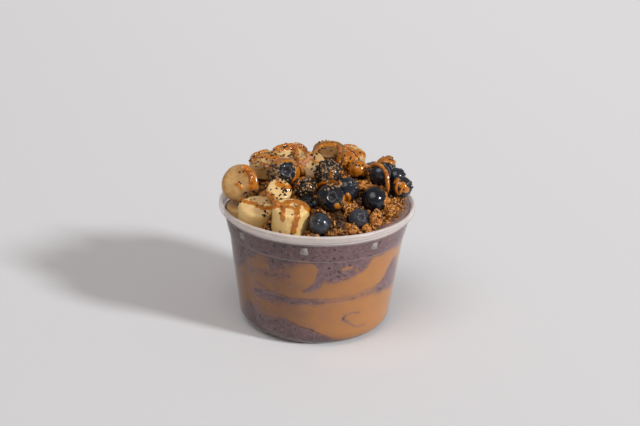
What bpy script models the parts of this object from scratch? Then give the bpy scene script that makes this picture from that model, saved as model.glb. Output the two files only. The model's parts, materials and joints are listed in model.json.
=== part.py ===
"""Acai bowl in a clear plastic deli cup, with banana slices, blueberries, granola and peanut butter.

Run with: blender --background --python part.py
Metres, +Z up. The origin is on the cup's axis, on the surface it stands on, and -Y is its front.
"""

import math
import random
from typing import NamedTuple

import bmesh
import bpy
from mathutils import Matrix, Vector

MM = 0.001
STEPS = 32
GAP = 0.35 * MM

# Clear cup: a tapered wall, a step, a wider upper band and a rolled lip
CUP_HEIGHT = 76.0 * MM
CUP_THICKNESS = 0.8 * MM
CORNER_CENTRE = 35.9 * MM
CORNER_RADIUS = 10.0 * MM
WALL_FOOT_RADIUS = 44.7 * MM
WALL_SLOPE = 0.1314
STEP_HEIGHT = 58.2 * MM
STEP_RISE = 0.3 * MM
STEP_OUT = 0.6 * MM
BAND_TOP = 69.4 * MM
BAND_TOP_RADIUS = 55.5 * MM
NECK_HEIGHT = 69.9 * MM
NECK_RADIUS = 56.0 * MM
LIP_RADIUS = 58.5 * MM
LIP_MIDDLE_RADIUS = 57.2 * MM
LIP_INNER_RADIUS = 56.0 * MM
LIP_EDGE_INSET = 0.3 * MM
LIP_EDGE_DROP = 0.4 * MM
LIP_SIDE_DROP = 1.1 * MM
LIP_THROAT_INSET = 0.4 * MM
LIP_THROAT_DROP = 1.4 * MM
SKIRT_FOOT = 72.5 * MM
SKIRT_THICKNESS = 0.8 * MM
SKIRT_DRAFT = 0.1 * MM
SKIRT_ROOF_INSET = 0.3 * MM
SKIRT_ROOF_DROP = 1.2 * MM
SKIRT_ROOF_END = 0.7 * MM
SKIRT_ROOF_FALL = 0.1 * MM
FOOT_INNER_RADIUS = 32.0 * MM
FOOT_RECESS = 0.95 * MM
FOOT_SLOPE = 1.0 * MM
FOOT_INSIDE_SLOPE = 0.6 * MM
STEP_INSIDE_RISE = 0.1 * MM
CORNER_STEPS = 3

# Stacking lugs inside the upper band
LUGS = 8
LUG_FIRST = -52.0
LUG_FOOT = 62.9 * MM
LUG_TOP = 67.7 * MM
LUG_WIDTH = 4.7 * MM
LUG_DEPTH = 1.3 * MM
LUG_ROOT = 0.25 * MM
LUG_ROOM = 0.5 * MM

# The acai's flat top slopes up to the right
ACAI_LEVEL = 72.0 * MM
ACAI_TILT = 3.0 * MM
ACAI_TILT_REACH = 55.0 * MM
ACAI_HIGH_SIDE = 80.0

# Peanut butter swirl on the wall: heights in millimetres at angles from the front
SWIRL_DEPTH = 5.0 * MM
SWIRL_DEPTH_CHANGE = 1.2 * MM
SWIRL_DEPTH_WAVES = 3
SWIRL_EDGE_ROUND = 1.2 * MM
SWIRL_ROWS = 6
SWIRL_GAP = 0.5 * MM
SWIRL_ROOM_OVERSHOOT = 1.0 * MM
SWIRL_TOP = (
    (-72, 36), (-63, 41.5), (-54, 48), (-45, 55), (-36, 57), (-28, 49), (-18, 52.5), (-9, 56),
    (-3, 50), (4, 41.5), (14, 44), (25, 46.5), (33, 50), (42, 56.5), (54, 57.5), (68, 56),
    (90, 50), (112, 44), (135, 51), (158, 57), (180, 46), (203, 38), (226, 47), (250, 53), (270, 43),
)
SWIRL_FOOT = (
    (-72, 8), (-64, 15), (-57, 22), (-43, 16), (-32, 16.5), (-21, 18), (-12, 14.5), (5, 10),
    (14, 6), (22, 3.5), (60, 3.5), (78, 8), (95, 16), (118, 12), (140, 20), (165, 15),
    (190, 8), (215, 13), (240, 22), (262, 15),
)

# Acai streak that parts the peanut butter at the front and widens at the right
STREAK_TOP = (
    (-47, 32.2), (-38, 33.7), (-18, 32.9), (1, 32.9), (15, 33.5), (26, 34), (39, 36), (49, 37.5),
    (54, 41), (60, 47), (67, 50), (74, 46),
)
STREAK_FOOT = (
    (-47, 30.5), (-42, 28.2), (-35, 28), (-15, 28.6), (1, 29.3), (25, 30.5), (45, 30.8), (57, 30),
    (74, 28.5),
)
STREAK_COLUMNS = 28
STREAK_DEPTH = 9.0 * MM
STREAK_OVERSHOOT = 2.0 * MM

# Granola heap: its edge, how far it stands up at the edge and how deep the toppings sit in it
HEAP_EDGE_RADIUS = 52.2 * MM
HEAP_EDGE_HEIGHT = 1.4 * MM
HEAP_SHOULDER = 6.5 * MM
HEAP_SEAT = 3.2 * MM
HEAP_REACH = 6.0 * MM
HEAP_LEAST_RISE = 1.0 * MM
HEAP_RINGS = 5
HEAP_RING_SPREAD = 0.8
SOCKET_GAP = 0.45 * MM
SLICE_ROOM = 1.6 * SOCKET_GAP
BERRY_ROOM = 1.05
CHUNK_SEED = 11
CHUNK_DRAWS = 420
CHUNK_LIMIT = 24
CHUNK_SIZES = (2.0, 3.4)
CHUNK_SPACING = 5.0
CHUNK_RISE = 0.4
CHUNK_CLEARANCE = 0.2
CHUNK_EDGE_MARGIN = 3.0 * MM
CHUNK_SHAPE = (1.0, 0.85, 0.6)
LUMP_UNEVENNESS = (0.82, 1.12)

# Places where the heap's edge draws in: side in degrees from the front, width in degrees, depth
HEAP_DIPS = (
    (70.0, 20.0, 5.5 * MM),
    (-72.0, 14.0, 8.0 * MM),
)

# Seeds and drizzle. Seeds follow each other round by the golden part of a turn
SEED_SIZE = (1.1 * MM, 0.8 * MM, 0.7 * MM)
SEED_TURN = 0.382
SEED_SINK = 0.95
SLICE_SEED_RING = (0.25, 0.5)
BERRY_SEED_RING = (14.0, 48.0)
CROWN_ZONE = 0.8
DRIZZLE_RADIUS = 1.35 * MM
DRIZZLE_BENDS = (-1, -0.4, 0.3, 1)
DRIZZLE_RIM_INSET = 0.4 * MM
DRIZZLE_RIM_DROP = 0.9 * MM

# Banana slices and blueberries
SLICE_SIDES = 12
SLICE_EDGE = 1.4 * MM
SLICE_SQUEEZE = 0.025
BERRY_STEPS = 10
BERRY_CROWN = ((0, 0.70), (0.20, 0.72), (0.34, 0.94))
BERRY_BODY_ANGLES = (42, 72, 104, 138)
BERRY_SQUASH = 0.93
BERRY_STEM_END = (0, -0.90)

# Coat of caramel over the top of a blueberry, as a share of its radius
COAT_SIZE = 0.86
COAT_LIFT = 0.13
COAT_THICKNESS = 0.35 * MM
COAT_SIDE = (0.1, -0.2, 1)


class Slice(NamedTuple):
    """Banana slice: centre, radius and thickness in mm, lean and heading in degrees.

    A drizzle is (bearing, offset, drop at its start, drop at its end) on the upper face.
    """

    place: tuple
    radius: float
    thickness: float
    lean: float
    heading: float
    seeds: int
    drizzles: tuple


class Berry(NamedTuple):
    """Blueberry: centre and radius in mm, lean and heading of its crown, coat and seeds."""

    place: tuple
    radius: float
    lean: float
    heading: float
    coat: float
    seeds: int


SLICES = (
    Slice((-45.6, -7.0, 87.5), 11.2, 9.0, 64, 8, 3, ((100, -6, 0, 2),)),
    Slice((-43.5, -6.5, 71.0), 10.3, 8.6, 8, -60, 0, ()),
    Slice((-34.6, -27.6, 76.3), 11.2, 14.6, 13, 4, 5, ((0, -7.5, 2, 2),)),
    Slice((-14.8, -41.4, 80.0), 11.0, 16.8, 8, 10, 2, ((60, 3, 0, 11), (70, -4.5, 0, 5))),
    Slice((-22.2, -24.9, 90.3), 7.4, 6.4, 40, 20, 6, ()),
    Slice((-31.0, 10.1, 93.2), 10.1, 10.6, 15, -30, 4, ((20, 3, 1, 2),)),
    Slice((-17.3, 35.7, 90.2), 11.0, 9.8, 8, 0, 2, ((30, 1, 1, 1),)),
    Slice((6.1, 26.2, 96.1), 9.9, 8.8, 12, -10, 0, ((0, 5, 1, 1),)),
    Slice((19.7, 41.2, 88.9), 9.5, 8.8, 12, 40, 0, ((60, 0, 1, 1),)),
    Slice((-4.0, 9.4, 93.6), 8.9, 7.8, 52, -15, 0, ()),
    Slice((-38.4, 24.9, 79.7), 10.6, 8.8, 30, -120, 2, ()),
    Slice((0.8, 45.6, 80.6), 10.1, 8.6, 30, 170, 2, ()),
)

BERRIES = (
    Berry((-19.7, -7.0, 95.0), 8.9, 62, 12, 1.0, 5),
    Berry((6.3, -6.2, 94.6), 8.8, 30, 200, 0.7, 7),
    Berry((16.6, -18.8, 90.4), 7.7, 50, 60, 0, 0),
    Berry((7.8, -32.4, 90.2), 8.1, 66, 5, 0.5, 0),
    Berry((-7.0, -15.1, 88.8), 6.8, 40, -40, 0.8, 3),
    Berry((-5.2, -26.2, 82.4), 6.2, 50, 40, 0, 0),
    Berry((1.8, -48.0, 80.1), 6.5, 62, -35, 0, 0),
    Berry((24.2, -38.2, 79.5), 6.3, 55, 15, 0, 0),
    Berry((32.9, -21.2, 85.0), 8.0, 80, 100, 0, 0),
    Berry((36.5, -2.2, 93.8), 6.7, 70, 190, 0, 0),
    Berry((40.7, 17.0, 91.6), 6.2, 60, 140, 0, 0),
    Berry((49.3, -7.1, 88.2), 6.7, 70, 60, 0.8, 0),
    Berry((46.5, 6.0, 89.5), 5.9, 60, 110, 0, 0),
    Berry((23.9, 4.5, 93.8), 5.8, 80, 250, 0, 0),
    Berry((16.5, 13.7, 95.9), 5.8, 70, 330, 0, 0),
    Berry((32.4, 31.8, 82.7), 6.3, 50, 150, 0, 0),
    Berry((42.6, 23.7, 80.8), 6.1, 55, 120, 0, 0),
    Berry((20.6, 25.7, 84.6), 6.2, 60, 200, 0, 0),
)

# Big granola lumps that show at the front right: centre and half sizes in mm
LUMPS = (
    ((33.4, -37.0, 79.0), (5.2, 4.6, 4.4)),
    ((42.5, -22.5, 81.0), (5.6, 6.4, 4.8)),
    ((45.5, -15.5, 80.5), (3.6, 4.2, 3.6)),
    ((24.5, -23.5, 84.5), (3.8, 3.4, 3.4)),
    ((13.0, -42.0, 78.0), (4.4, 4.4, 3.4)),
    ((27.0, -11.5, 88.5), (3.8, 4.4, 3.4)),
    ((20.0, -46.0, 76.2), (3.4, 2.6, 2.4)),
)

# Strand of peanut butter that arches over a blueberry at the right, centre line in mm
STRAND_RADIUS = 1.2 * MM
STRAND_BERRY = 9
STRAND = ((31.5, -0.7, 98.1), (34.5, -2.7, 100.5), (37.5, -4.2, 100.6), (40.2, -6.2, 98.7),
          (41.6, -8.6, 95.3), (41.5, -10.8, 91.0), (41.2, -12.4, 87.0))


def clear_scene():
    for obj in list(bpy.data.objects):
        bpy.data.objects.remove(obj, do_unlink=True)


def new_collection(name):
    group = bpy.data.collections.new(name)
    bpy.context.scene.collection.children.link(group)
    return group


def new_material(name, colour, roughness, transmission=0.0):
    mat = bpy.data.materials.new(name)
    mat.use_nodes = True
    shader = mat.node_tree.nodes["Principled BSDF"]
    shader.inputs["Base Color"].default_value = (*colour, 1.0)
    shader.inputs["Roughness"].default_value = roughness
    shader.inputs["Metallic"].default_value = 0.0
    shader.inputs["Transmission Weight"].default_value = transmission
    mat.diffuse_color = (*colour, 1.0)
    return mat


def new_object(name, mesh, group, mat=None):
    obj = bpy.data.objects.new(name, mesh)
    group.objects.link(obj)
    if mat:
        mesh.materials.append(mat)
    return obj


def bmesh_object(name, bm, group, mat=None):
    mesh = bpy.data.meshes.new(name)
    bm.to_mesh(mesh)
    bm.free()
    return new_object(name, mesh, group, mat)


def apply_modifiers(obj):
    """Swap the object's mesh for its evaluated one."""
    graph = bpy.context.evaluated_depsgraph_get()
    mesh = bpy.data.meshes.new_from_object(obj.evaluated_get(graph))
    obj.modifiers.clear()
    obj.data = mesh


def join_or_cut(obj, group, operation):
    """One Boolean with every object of a collection, applied, and the collection emptied."""
    boolean = obj.modifiers.new("Boolean", 'BOOLEAN')
    boolean.operation = operation
    boolean.operand_type = 'COLLECTION'
    boolean.collection = group
    boolean.solver = 'EXACT'
    apply_modifiers(obj)
    for piece in list(group.objects):
        bpy.data.objects.remove(piece, do_unlink=True)
    bpy.data.collections.remove(group)
    keep_largest(obj)


def keep_largest(obj):
    """Drop the loose scraps that a Boolean leaves."""
    bm = bmesh.new()
    bm.from_mesh(obj.data)
    bmesh.ops.remove_doubles(bm, verts=bm.verts, dist=0.01 * MM)
    bmesh.ops.dissolve_degenerate(bm, edges=bm.edges, dist=0.01 * MM)
    unseen = set(bm.verts)
    islands = []
    while unseen:
        island = set()
        front = [unseen.pop()]
        while front:
            vert = front.pop()
            island.add(vert)
            for edge in vert.link_edges:
                other = edge.other_vert(vert)
                if other in unseen:
                    unseen.remove(other)
                    front.append(other)
        islands.append(island)
    islands.sort(key=len)
    for island in islands[:-1]:
        bmesh.ops.delete(bm, geom=list(island), context='VERTS')
    bmesh.ops.triangulate(bm, faces=bm.faces)
    bm.to_mesh(obj.data)
    bm.free()


def turned(name, profile, group, mat=None, steps=STEPS):
    """Closed body turned about Z from (radius, height) points, up the inside and down the outside."""
    mesh = bpy.data.meshes.new(name)
    verts = [(radius, 0, height) for radius, height in profile]
    mesh.from_pydata(verts, [(i, i + 1) for i in range(len(verts) - 1)], [])
    obj = new_object(name, mesh, group, mat)
    screw = obj.modifiers.new("Screw", 'SCREW')
    screw.steps = steps
    screw.render_steps = steps
    screw.use_merge_vertices = True
    screw.merge_threshold = 0.00001
    screw.use_smooth_shade = True
    apply_modifiers(obj)
    if mat and not obj.data.materials:
        obj.data.materials.append(mat)
    return obj


def arc(centre, radius, start, end, count):
    """Points on an arc about (radius, height), from one angle in degrees to another."""
    angles = [math.radians(start + (end - start) * i / count) for i in range(count + 1)]
    return [(centre[0] + radius * math.cos(a), centre[1] + radius * math.sin(a)) for a in angles]


def height_at(points, angle):
    """Height in metres of an outline given as (degrees, mm), read round the cup at an angle."""
    first = points[0][0]
    around = first + (angle - first) % 360
    closed = points + ((first + 360, points[0][1]),)
    for (a0, z0), (a1, z1) in zip(closed, closed[1:]):
        if around <= a1:
            return (z0 + (z1 - z0) * (around - a0) / (a1 - a0)) * MM
    return points[0][1] * MM


def on_cup(radius, angle, height):
    """Point at an angle in degrees from the front, positive to the right."""
    turn = math.radians(angle)
    return Vector((radius * math.sin(turn), -radius * math.cos(turn), height))


def outer_profile():
    """The cup's outside from the lip down to the middle of its base."""
    wall_lean = math.degrees(math.atan(WALL_SLOPE))
    step_radius = WALL_FOOT_RADIUS + WALL_SLOPE * STEP_HEIGHT
    skirt_inner = LIP_RADIUS - SKIRT_THICKNESS
    corner = (CORNER_CENTRE, CORNER_RADIUS)
    points = [
        (LIP_MIDDLE_RADIUS, CUP_HEIGHT),
        (LIP_RADIUS - LIP_EDGE_INSET, CUP_HEIGHT - LIP_EDGE_DROP),
        (LIP_RADIUS, CUP_HEIGHT - LIP_SIDE_DROP),
        (LIP_RADIUS - SKIRT_DRAFT, SKIRT_FOOT),
        (skirt_inner, SKIRT_FOOT),
        (skirt_inner - SKIRT_ROOF_INSET, CUP_HEIGHT - SKIRT_ROOF_DROP),
        (LIP_INNER_RADIUS + SKIRT_ROOF_END, CUP_HEIGHT - SKIRT_ROOF_DROP - SKIRT_ROOF_FALL),
        (NECK_RADIUS, NECK_HEIGHT),
        (BAND_TOP_RADIUS, BAND_TOP),
        (step_radius + STEP_OUT, STEP_HEIGHT + STEP_RISE),
        (step_radius, STEP_HEIGHT),
    ]
    points += arc(corner, CORNER_RADIUS, -wall_lean, -90, CORNER_STEPS)
    points += [
        (FOOT_INNER_RADIUS, 0),
        (FOOT_INNER_RADIUS - FOOT_SLOPE, FOOT_RECESS),
        (0, FOOT_RECESS),
    ]
    return points


def inner_wall(inset, floor=None):
    """The cup's inside from its bottom corner to the top of its band, moved inwards by an inset."""
    wall_lean = math.degrees(math.atan(WALL_SLOPE))
    step_radius = WALL_FOOT_RADIUS + WALL_SLOPE * STEP_HEIGHT
    depth = CUP_THICKNESS + inset
    points = arc((CORNER_CENTRE, CORNER_RADIUS), CORNER_RADIUS - depth, -90, -wall_lean, CORNER_STEPS)
    if floor:
        points[0] = (points[0][0], floor)
    return points + [
        (step_radius - depth, STEP_HEIGHT + STEP_INSIDE_RISE - inset / 2),
        (step_radius + STEP_OUT - depth, STEP_HEIGHT + STEP_RISE + STEP_INSIDE_RISE),
        (BAND_TOP_RADIUS - depth, BAND_TOP),
    ]


def inner_profile(inset=0.0):
    """The cup's inside from the middle of its floor up, moved inwards by an inset."""
    depth = CUP_THICKNESS + inset
    floor = FOOT_RECESS + depth
    points = [(0, floor), (FOOT_INNER_RADIUS - FOOT_SLOPE, floor)]
    if inset:
        return points + inner_wall(inset, floor)
    return points + [(FOOT_INNER_RADIUS + FOOT_INSIDE_SLOPE, depth)] + inner_wall(0)


def radius_inside(height, inset):
    """Radius of the cup's inside at a height, moved inwards by an inset."""
    throat = (LIP_INNER_RADIUS - LIP_THROAT_INSET, CUP_HEIGHT - LIP_THROAT_DROP)
    points = inner_wall(0) + [throat]
    for (r0, z0), (r1, z1) in zip(points, points[1:]):
        if height <= z1:
            return r0 + (r1 - r0) * max(height - z0, 0) / (z1 - z0) - inset
    return points[-1][0] - inset


def lug_boxes(group, grow):
    """Boxes of the stacking lugs, rooted in the wall, or with a growth the room they need."""
    middle = (LUG_FOOT + LUG_TOP) / 2
    inner = radius_inside(middle, LUG_DEPTH + grow)
    outer = radius_inside(middle, -LUG_ROOT - grow)
    size = (LUG_WIDTH + 2 * grow, outer - inner, LUG_TOP - LUG_FOOT + 2 * grow)
    for i in range(LUGS):
        angle = LUG_FIRST + i * 360 / LUGS
        bm = bmesh.new()
        bmesh.ops.create_cube(bm, size=1)
        bmesh.ops.scale(bm, vec=size, verts=bm.verts)
        box = bmesh_object("lug", bm, group)
        box.matrix_world = Matrix.Translation(on_cup((inner + outer) / 2, angle, middle)) @ (
            Matrix.Rotation(math.radians(angle), 4, 'Z'))


def make_cup(parts, mat):
    inner_lip = [
        (NECK_RADIUS - CUP_THICKNESS, NECK_HEIGHT),
        (LIP_INNER_RADIUS - LIP_THROAT_INSET, CUP_HEIGHT - LIP_THROAT_DROP),
        (LIP_INNER_RADIUS, CUP_HEIGHT - LIP_EDGE_DROP),
    ]
    profile = inner_profile() + inner_lip + outer_profile()
    cup = turned("cup", profile, parts, mat)
    lugs = new_collection("lugs")
    lug_boxes(lugs, 0)
    join_or_cut(cup, lugs, 'UNION')
    return cup


def acai_height(x, y):
    """Height of the acai's top, a plane that slopes up to the right."""
    high = on_cup(1, ACAI_HIGH_SIDE, 0)
    return ACAI_LEVEL + ACAI_TILT * (x * high.x + y * high.y) / ACAI_TILT_REACH


def band_ring(bm, points):
    """One closed cross-section of a loft."""
    return [bm.verts.new(point) for point in points]


def bridge(bm, ring, following):
    for i in range(len(ring)):
        j = (i + 1) % len(ring)
        bm.faces.new((ring[i], ring[j], following[j], following[i]))


def swirl_section(angle, grow):
    """Cross-section of the peanut butter band against the wall."""
    foot = height_at(SWIRL_FOOT, angle) - grow
    top = height_at(SWIRL_TOP, angle) + grow
    wave = math.sin(math.radians(SWIRL_DEPTH_WAVES * angle))
    depth = SWIRL_DEPTH + SWIRL_DEPTH_CHANGE * wave + grow
    outward = SWIRL_ROOM_OVERSHOOT if grow else -GAP
    points = []
    for i in range(SWIRL_ROWS):
        z = foot + (top - foot) * i / (SWIRL_ROWS - 1)
        points.append(on_cup(radius_inside(z, 0) + outward, angle, z))
    for part in (1.0, 0.5, 0.0):
        z = foot + (top - foot) * part
        z += SWIRL_EDGE_ROUND * (1 - 2 * part)
        points.append(on_cup(radius_inside(z, depth), angle, z))
    return points


def swirl_band(name, group, grow, mat=None):
    """Closed ring of peanut butter round the cup."""
    bm = bmesh.new()
    rings = [band_ring(bm, swirl_section(i * 360 / STEPS, grow)) for i in range(STEPS)]
    for i in range(STEPS):
        bridge(bm, rings[i], rings[(i + 1) % STEPS])
    bmesh.ops.recalc_face_normals(bm, faces=bm.faces)
    return bmesh_object(name, bm, group, mat)


def streak_wedge(group, shrink):
    """Wedge of the acai streak that parts the peanut butter."""
    end_gap = math.degrees(shrink / WALL_FOOT_RADIUS)
    start = STREAK_TOP[0][0]
    end = STREAK_TOP[-1][0]
    bm = bmesh.new()
    rings = []
    for i in range(STREAK_COLUMNS + 1):
        angle = start + (end - start) * i / STREAK_COLUMNS
        angle = min(max(angle, start + end_gap), end - end_gap)
        top = height_at(STREAK_TOP, angle) - shrink
        foot = height_at(STREAK_FOOT, angle) + shrink
        outer = radius_inside(top, 0) + STREAK_OVERSHOOT
        inner = radius_inside(foot, STREAK_DEPTH)
        rings.append(band_ring(bm, (
            on_cup(outer, angle, foot), on_cup(outer, angle, top),
            on_cup(inner, angle, top), on_cup(inner, angle, foot))))
    for ring, following in zip(rings, rings[1:]):
        bridge(bm, ring, following)
    bm.faces.new(rings[0])
    bm.faces.new(rings[-1])
    bmesh.ops.recalc_face_normals(bm, faces=bm.faces)
    return bmesh_object("streak", bm, group)


def make_peanut_butter(parts, mat):
    swirl = swirl_band("peanut_butter", parts, 0, mat)
    cut = new_collection("streak")
    streak_wedge(cut, 0)
    join_or_cut(swirl, cut, 'DIFFERENCE')
    return swirl


def make_acai(parts, mat):
    """Acai that fills the cup, cut round the peanut butter, the lugs and the toppings."""
    profile = inner_profile(GAP)
    profile.append((0, BAND_TOP))
    acai = turned("acai", profile, parts, mat)
    for vert in acai.data.vertices:
        if vert.co.z > BAND_TOP - 1 * MM:
            reach = math.hypot(vert.co.x, vert.co.y)
            height = acai_height(vert.co.x, vert.co.y)
            if reach > 1 * MM:
                radius = radius_inside(height, GAP)
                vert.co.x *= radius / reach
                vert.co.y *= radius / reach
            vert.co.z = acai_height(vert.co.x, vert.co.y)
    flip_if_inside_out(acai)
    cut = new_collection("room in acai")
    room = swirl_band("swirl room", cut, SWIRL_GAP)
    inner_cut = new_collection("streak kept")
    streak_wedge(inner_cut, SWIRL_GAP)
    join_or_cut(room, inner_cut, 'DIFFERENCE')
    lug_boxes(cut, LUG_ROOM)
    topping_cutters(cut)
    join_or_cut(acai, cut, 'DIFFERENCE')
    return acai


def flip_if_inside_out(obj):
    bm = bmesh.new()
    bm.from_mesh(obj.data)
    bmesh.ops.recalc_face_normals(bm, faces=bm.faces)
    bm.to_mesh(obj.data)
    bm.free()


def tipped(place, lean, heading):
    """Matrix that tips an upright piece by a lean towards a heading, 0 to the front, 90 right."""
    return (Matrix.Translation(Vector(place) * MM)
            @ Matrix.Rotation(math.radians(heading), 4, 'Z')
            @ Matrix.Rotation(math.radians(lean), 4, 'X'))


def slice_cage(piece, grow, sides, edge, headroom=0.0):
    """Upright disc with rounded rims, or room for one with space above it for its seeds."""
    bm = bmesh.new()
    bmesh.ops.create_cone(
        bm, cap_ends=True, segments=sides, radius1=piece.radius * MM + grow,
        radius2=piece.radius * MM + grow, depth=piece.thickness * MM + 2 * grow + headroom,
        matrix=Matrix.Translation((0, 0, headroom / 2)))
    if edge:
        rims = [e for e in bm.edges if abs(e.verts[0].co.z - e.verts[1].co.z) < 1e-6]
        bmesh.ops.bevel(bm, geom=rims, offset=edge, segments=1, profile=0.5, affect='EDGES')
    return bm


def berry_profile(radius):
    """Outline of a blueberry from the bottom of its crown down to its stem end."""
    angles = [math.radians(angle) for angle in BERRY_BODY_ANGLES]
    body = [(math.sin(angle), BERRY_SQUASH * math.cos(angle)) for angle in angles]
    outline = list(BERRY_CROWN) + body + [BERRY_STEM_END]
    return [(r * radius * MM, z * radius * MM) for r, z in outline]


def seed_at(group, matrix, draw):
    bm = bmesh.new()
    bmesh.ops.create_icosphere(bm, subdivisions=1, radius=1)
    bmesh.ops.scale(bm, vec=SEED_SIZE, verts=bm.verts)
    seed = bmesh_object("seed", bm, group)
    seed.matrix_world = matrix @ Matrix.Rotation(draw.uniform(0, math.pi), 4, 'Z')


def tube(group, points, radius, matrix):
    """Drizzle as a closed tube mesh along points."""
    curve = bpy.data.curves.new("drizzle", 'CURVE')
    curve.dimensions = '3D'
    curve.bevel_depth = radius
    curve.bevel_resolution = 1
    curve.use_fill_caps = True
    spline = curve.splines.new('POLY')
    spline.points.add(len(points) - 1)
    for target, point in zip(spline.points, points):
        target.co = (*point, 1)
    guide = bpy.data.objects.new("drizzle guide", curve)
    group.objects.link(guide)
    graph = bpy.context.evaluated_depsgraph_get()
    mesh = bpy.data.meshes.new_from_object(guide.evaluated_get(graph))
    bpy.data.objects.remove(guide, do_unlink=True)
    bm = bmesh.new()
    bm.from_mesh(mesh)
    bmesh.ops.remove_doubles(bm, verts=bm.verts, dist=0.01 * MM)
    bmesh.ops.recalc_face_normals(bm, faces=bm.faces)
    piece = bmesh_object("drizzle", bm, group)
    piece.matrix_world = matrix


def drizzle_on_slice(group, piece, drizzle, matrix, grow=0.0):
    """Drizzle across the upper face, over its rim and down the side at each end."""
    bearing, offset, start_drop, end_drop = drizzle
    turn = math.radians(bearing)
    along = Vector((math.cos(turn), math.sin(turn), 0))
    aside = Vector((-along.y, along.x, 0)) * offset * MM
    half = math.sqrt(piece.radius ** 2 - offset ** 2) * MM
    face = piece.thickness / 2 * MM
    rim = half - DRIZZLE_RIM_INSET
    points = [aside + along * (rim * part) + Vector((0, 0, face)) for part in DRIZZLE_BENDS]
    if start_drop:
        points[0].z -= DRIZZLE_RIM_DROP
        points.insert(0, aside - along * half + Vector((0, 0, face - start_drop * MM - DRIZZLE_RADIUS)))
    if end_drop:
        points[-1].z -= DRIZZLE_RIM_DROP
        points.append(aside + along * half + Vector((0, 0, face - end_drop * MM - DRIZZLE_RADIUS)))
    tube(group, points, DRIZZLE_RADIUS + grow, matrix)


def make_slices(parts, mat):
    draw = random.Random(5)
    for index, piece in enumerate(SLICES):
        name = "banana_slice_%02d" % (index + 1)
        bm = slice_cage(piece, 0, SLICE_SIDES, SLICE_EDGE)
        waviness = draw.uniform(0, math.tau)
        for vert in bm.verts:
            angle = math.atan2(vert.co.y, vert.co.x)
            reach = math.hypot(vert.co.x, vert.co.y)
            if reach > 1 * MM:
                # Three flattened sides, as the fruit has, kept inside its radius
                squeeze = 1 - SLICE_SQUEEZE * (1 - math.cos(3 * angle + waviness))
                vert.co.x *= squeeze
                vert.co.y *= squeeze
        disc = bmesh_object(name, bm, parts, mat)
        matrix = tipped(piece.place, piece.lean, piece.heading)
        added = new_collection("on " + name)
        face = piece.thickness / 2 * MM
        for i in range(piece.seeds):
            angle = math.tau * (i * SEED_TURN + draw.uniform(0, 0.1))
            start, span = SLICE_SEED_RING
            reach = piece.radius * MM * (start + span * math.sqrt((i + 0.5) / piece.seeds))
            spot = Vector((reach * math.cos(angle), reach * math.sin(angle), face))
            seed_at(added, Matrix.Translation(spot), draw)
        for drizzle in piece.drizzles:
            drizzle_on_slice(added, piece, drizzle, Matrix.Identity(4))
        if len(added.objects):
            join_or_cut(disc, added, 'UNION')
        else:
            bpy.data.collections.remove(added)
        disc.matrix_world = matrix


def make_berries(parts, mat):
    draw = random.Random(8)
    for index, piece in enumerate(BERRIES):
        name = "blueberry_%02d" % (index + 1)
        berry = turned(name, berry_profile(piece.radius), parts, mat, steps=BERRY_STEPS)
        flip_if_inside_out(berry)
        matrix = tipped(piece.place, piece.lean, piece.heading)
        added = new_collection("on " + name)
        radius = piece.radius * MM
        to_local = matrix.to_3x3().inverted()
        for i in range(piece.seeds):
            angle = math.tau * (i * SEED_TURN + draw.uniform(0, 0.08))
            start, span = BERRY_SEED_RING
            polar = math.radians(start + span * math.sqrt((i + 0.5) / piece.seeds))
            up = Vector((math.sin(polar) * math.cos(angle), math.sin(polar) * math.sin(angle),
                         math.cos(polar)))
            side = to_local @ up
            if side.z < CROWN_ZONE:
                turn = Vector((0, 0, 1)).rotation_difference(side).to_matrix().to_4x4()
                seed_at(added, Matrix.Translation(side * radius * SEED_SINK) @ turn, draw)
        if piece.coat:
            bm = bmesh.new()
            bmesh.ops.create_icosphere(bm, subdivisions=2, radius=radius * COAT_SIZE)
            lift = to_local @ Vector(COAT_SIDE).normalized()
            coat = bmesh_object("coat", bm, added)
            coat.location = lift * (radius * COAT_LIFT + COAT_THICKNESS * piece.coat)
        if index == STRAND_BERRY:
            points = [matrix.inverted() @ (Vector(point) * MM) for point in STRAND]
            tube(added, points, STRAND_RADIUS, Matrix.Identity(4))
        if len(added.objects):
            join_or_cut(berry, added, 'UNION')
        else:
            bpy.data.collections.remove(added)
        berry.matrix_world = matrix


def topping_cutters(group):
    """Plain enlarged copies of the toppings, for the sockets they sit in."""
    for piece in SLICES:
        matrix = tipped(piece.place, piece.lean, piece.heading)
        headroom = SEED_SIZE[2] if piece.seeds else 0
        cutter = bmesh_object("slice room", slice_cage(piece, SLICE_ROOM, 9, 0, headroom), group)
        cutter.matrix_world = matrix
        for drizzle in piece.drizzles:
            drizzle_on_slice(group, piece, drizzle, matrix, SOCKET_GAP)
    for piece in BERRIES:
        bm = bmesh.new()
        size = piece.radius * MM * BERRY_ROOM + SOCKET_GAP
        bmesh.ops.create_icosphere(bm, subdivisions=2, radius=size)
        cutter = bmesh_object("berry room", bm, group)
        cutter.matrix_world = tipped(piece.place, piece.lean, piece.heading)
    tube(group, [Vector(point) * MM for point in STRAND], STRAND_RADIUS + SOCKET_GAP, Matrix.Identity(4))


def lowest_point(piece):
    """Height in metres of a topping's lowest point."""
    if isinstance(piece, Berry):
        return (piece.place[2] - piece.radius) * MM
    lean = math.radians(piece.lean)
    drop = piece.radius * math.sin(lean) + piece.thickness / 2 * math.cos(lean)
    return (piece.place[2] - drop) * MM


def heap_edge(angle):
    """Radius of the heap's edge, drawn in where the acai or a banana's side shows."""
    radius = HEAP_EDGE_RADIUS
    for side, width, depth in HEAP_DIPS:
        away = (angle - side + 180) % 360 - 180
        radius -= depth * math.exp(-(away / width) ** 2)
    return radius


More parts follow.
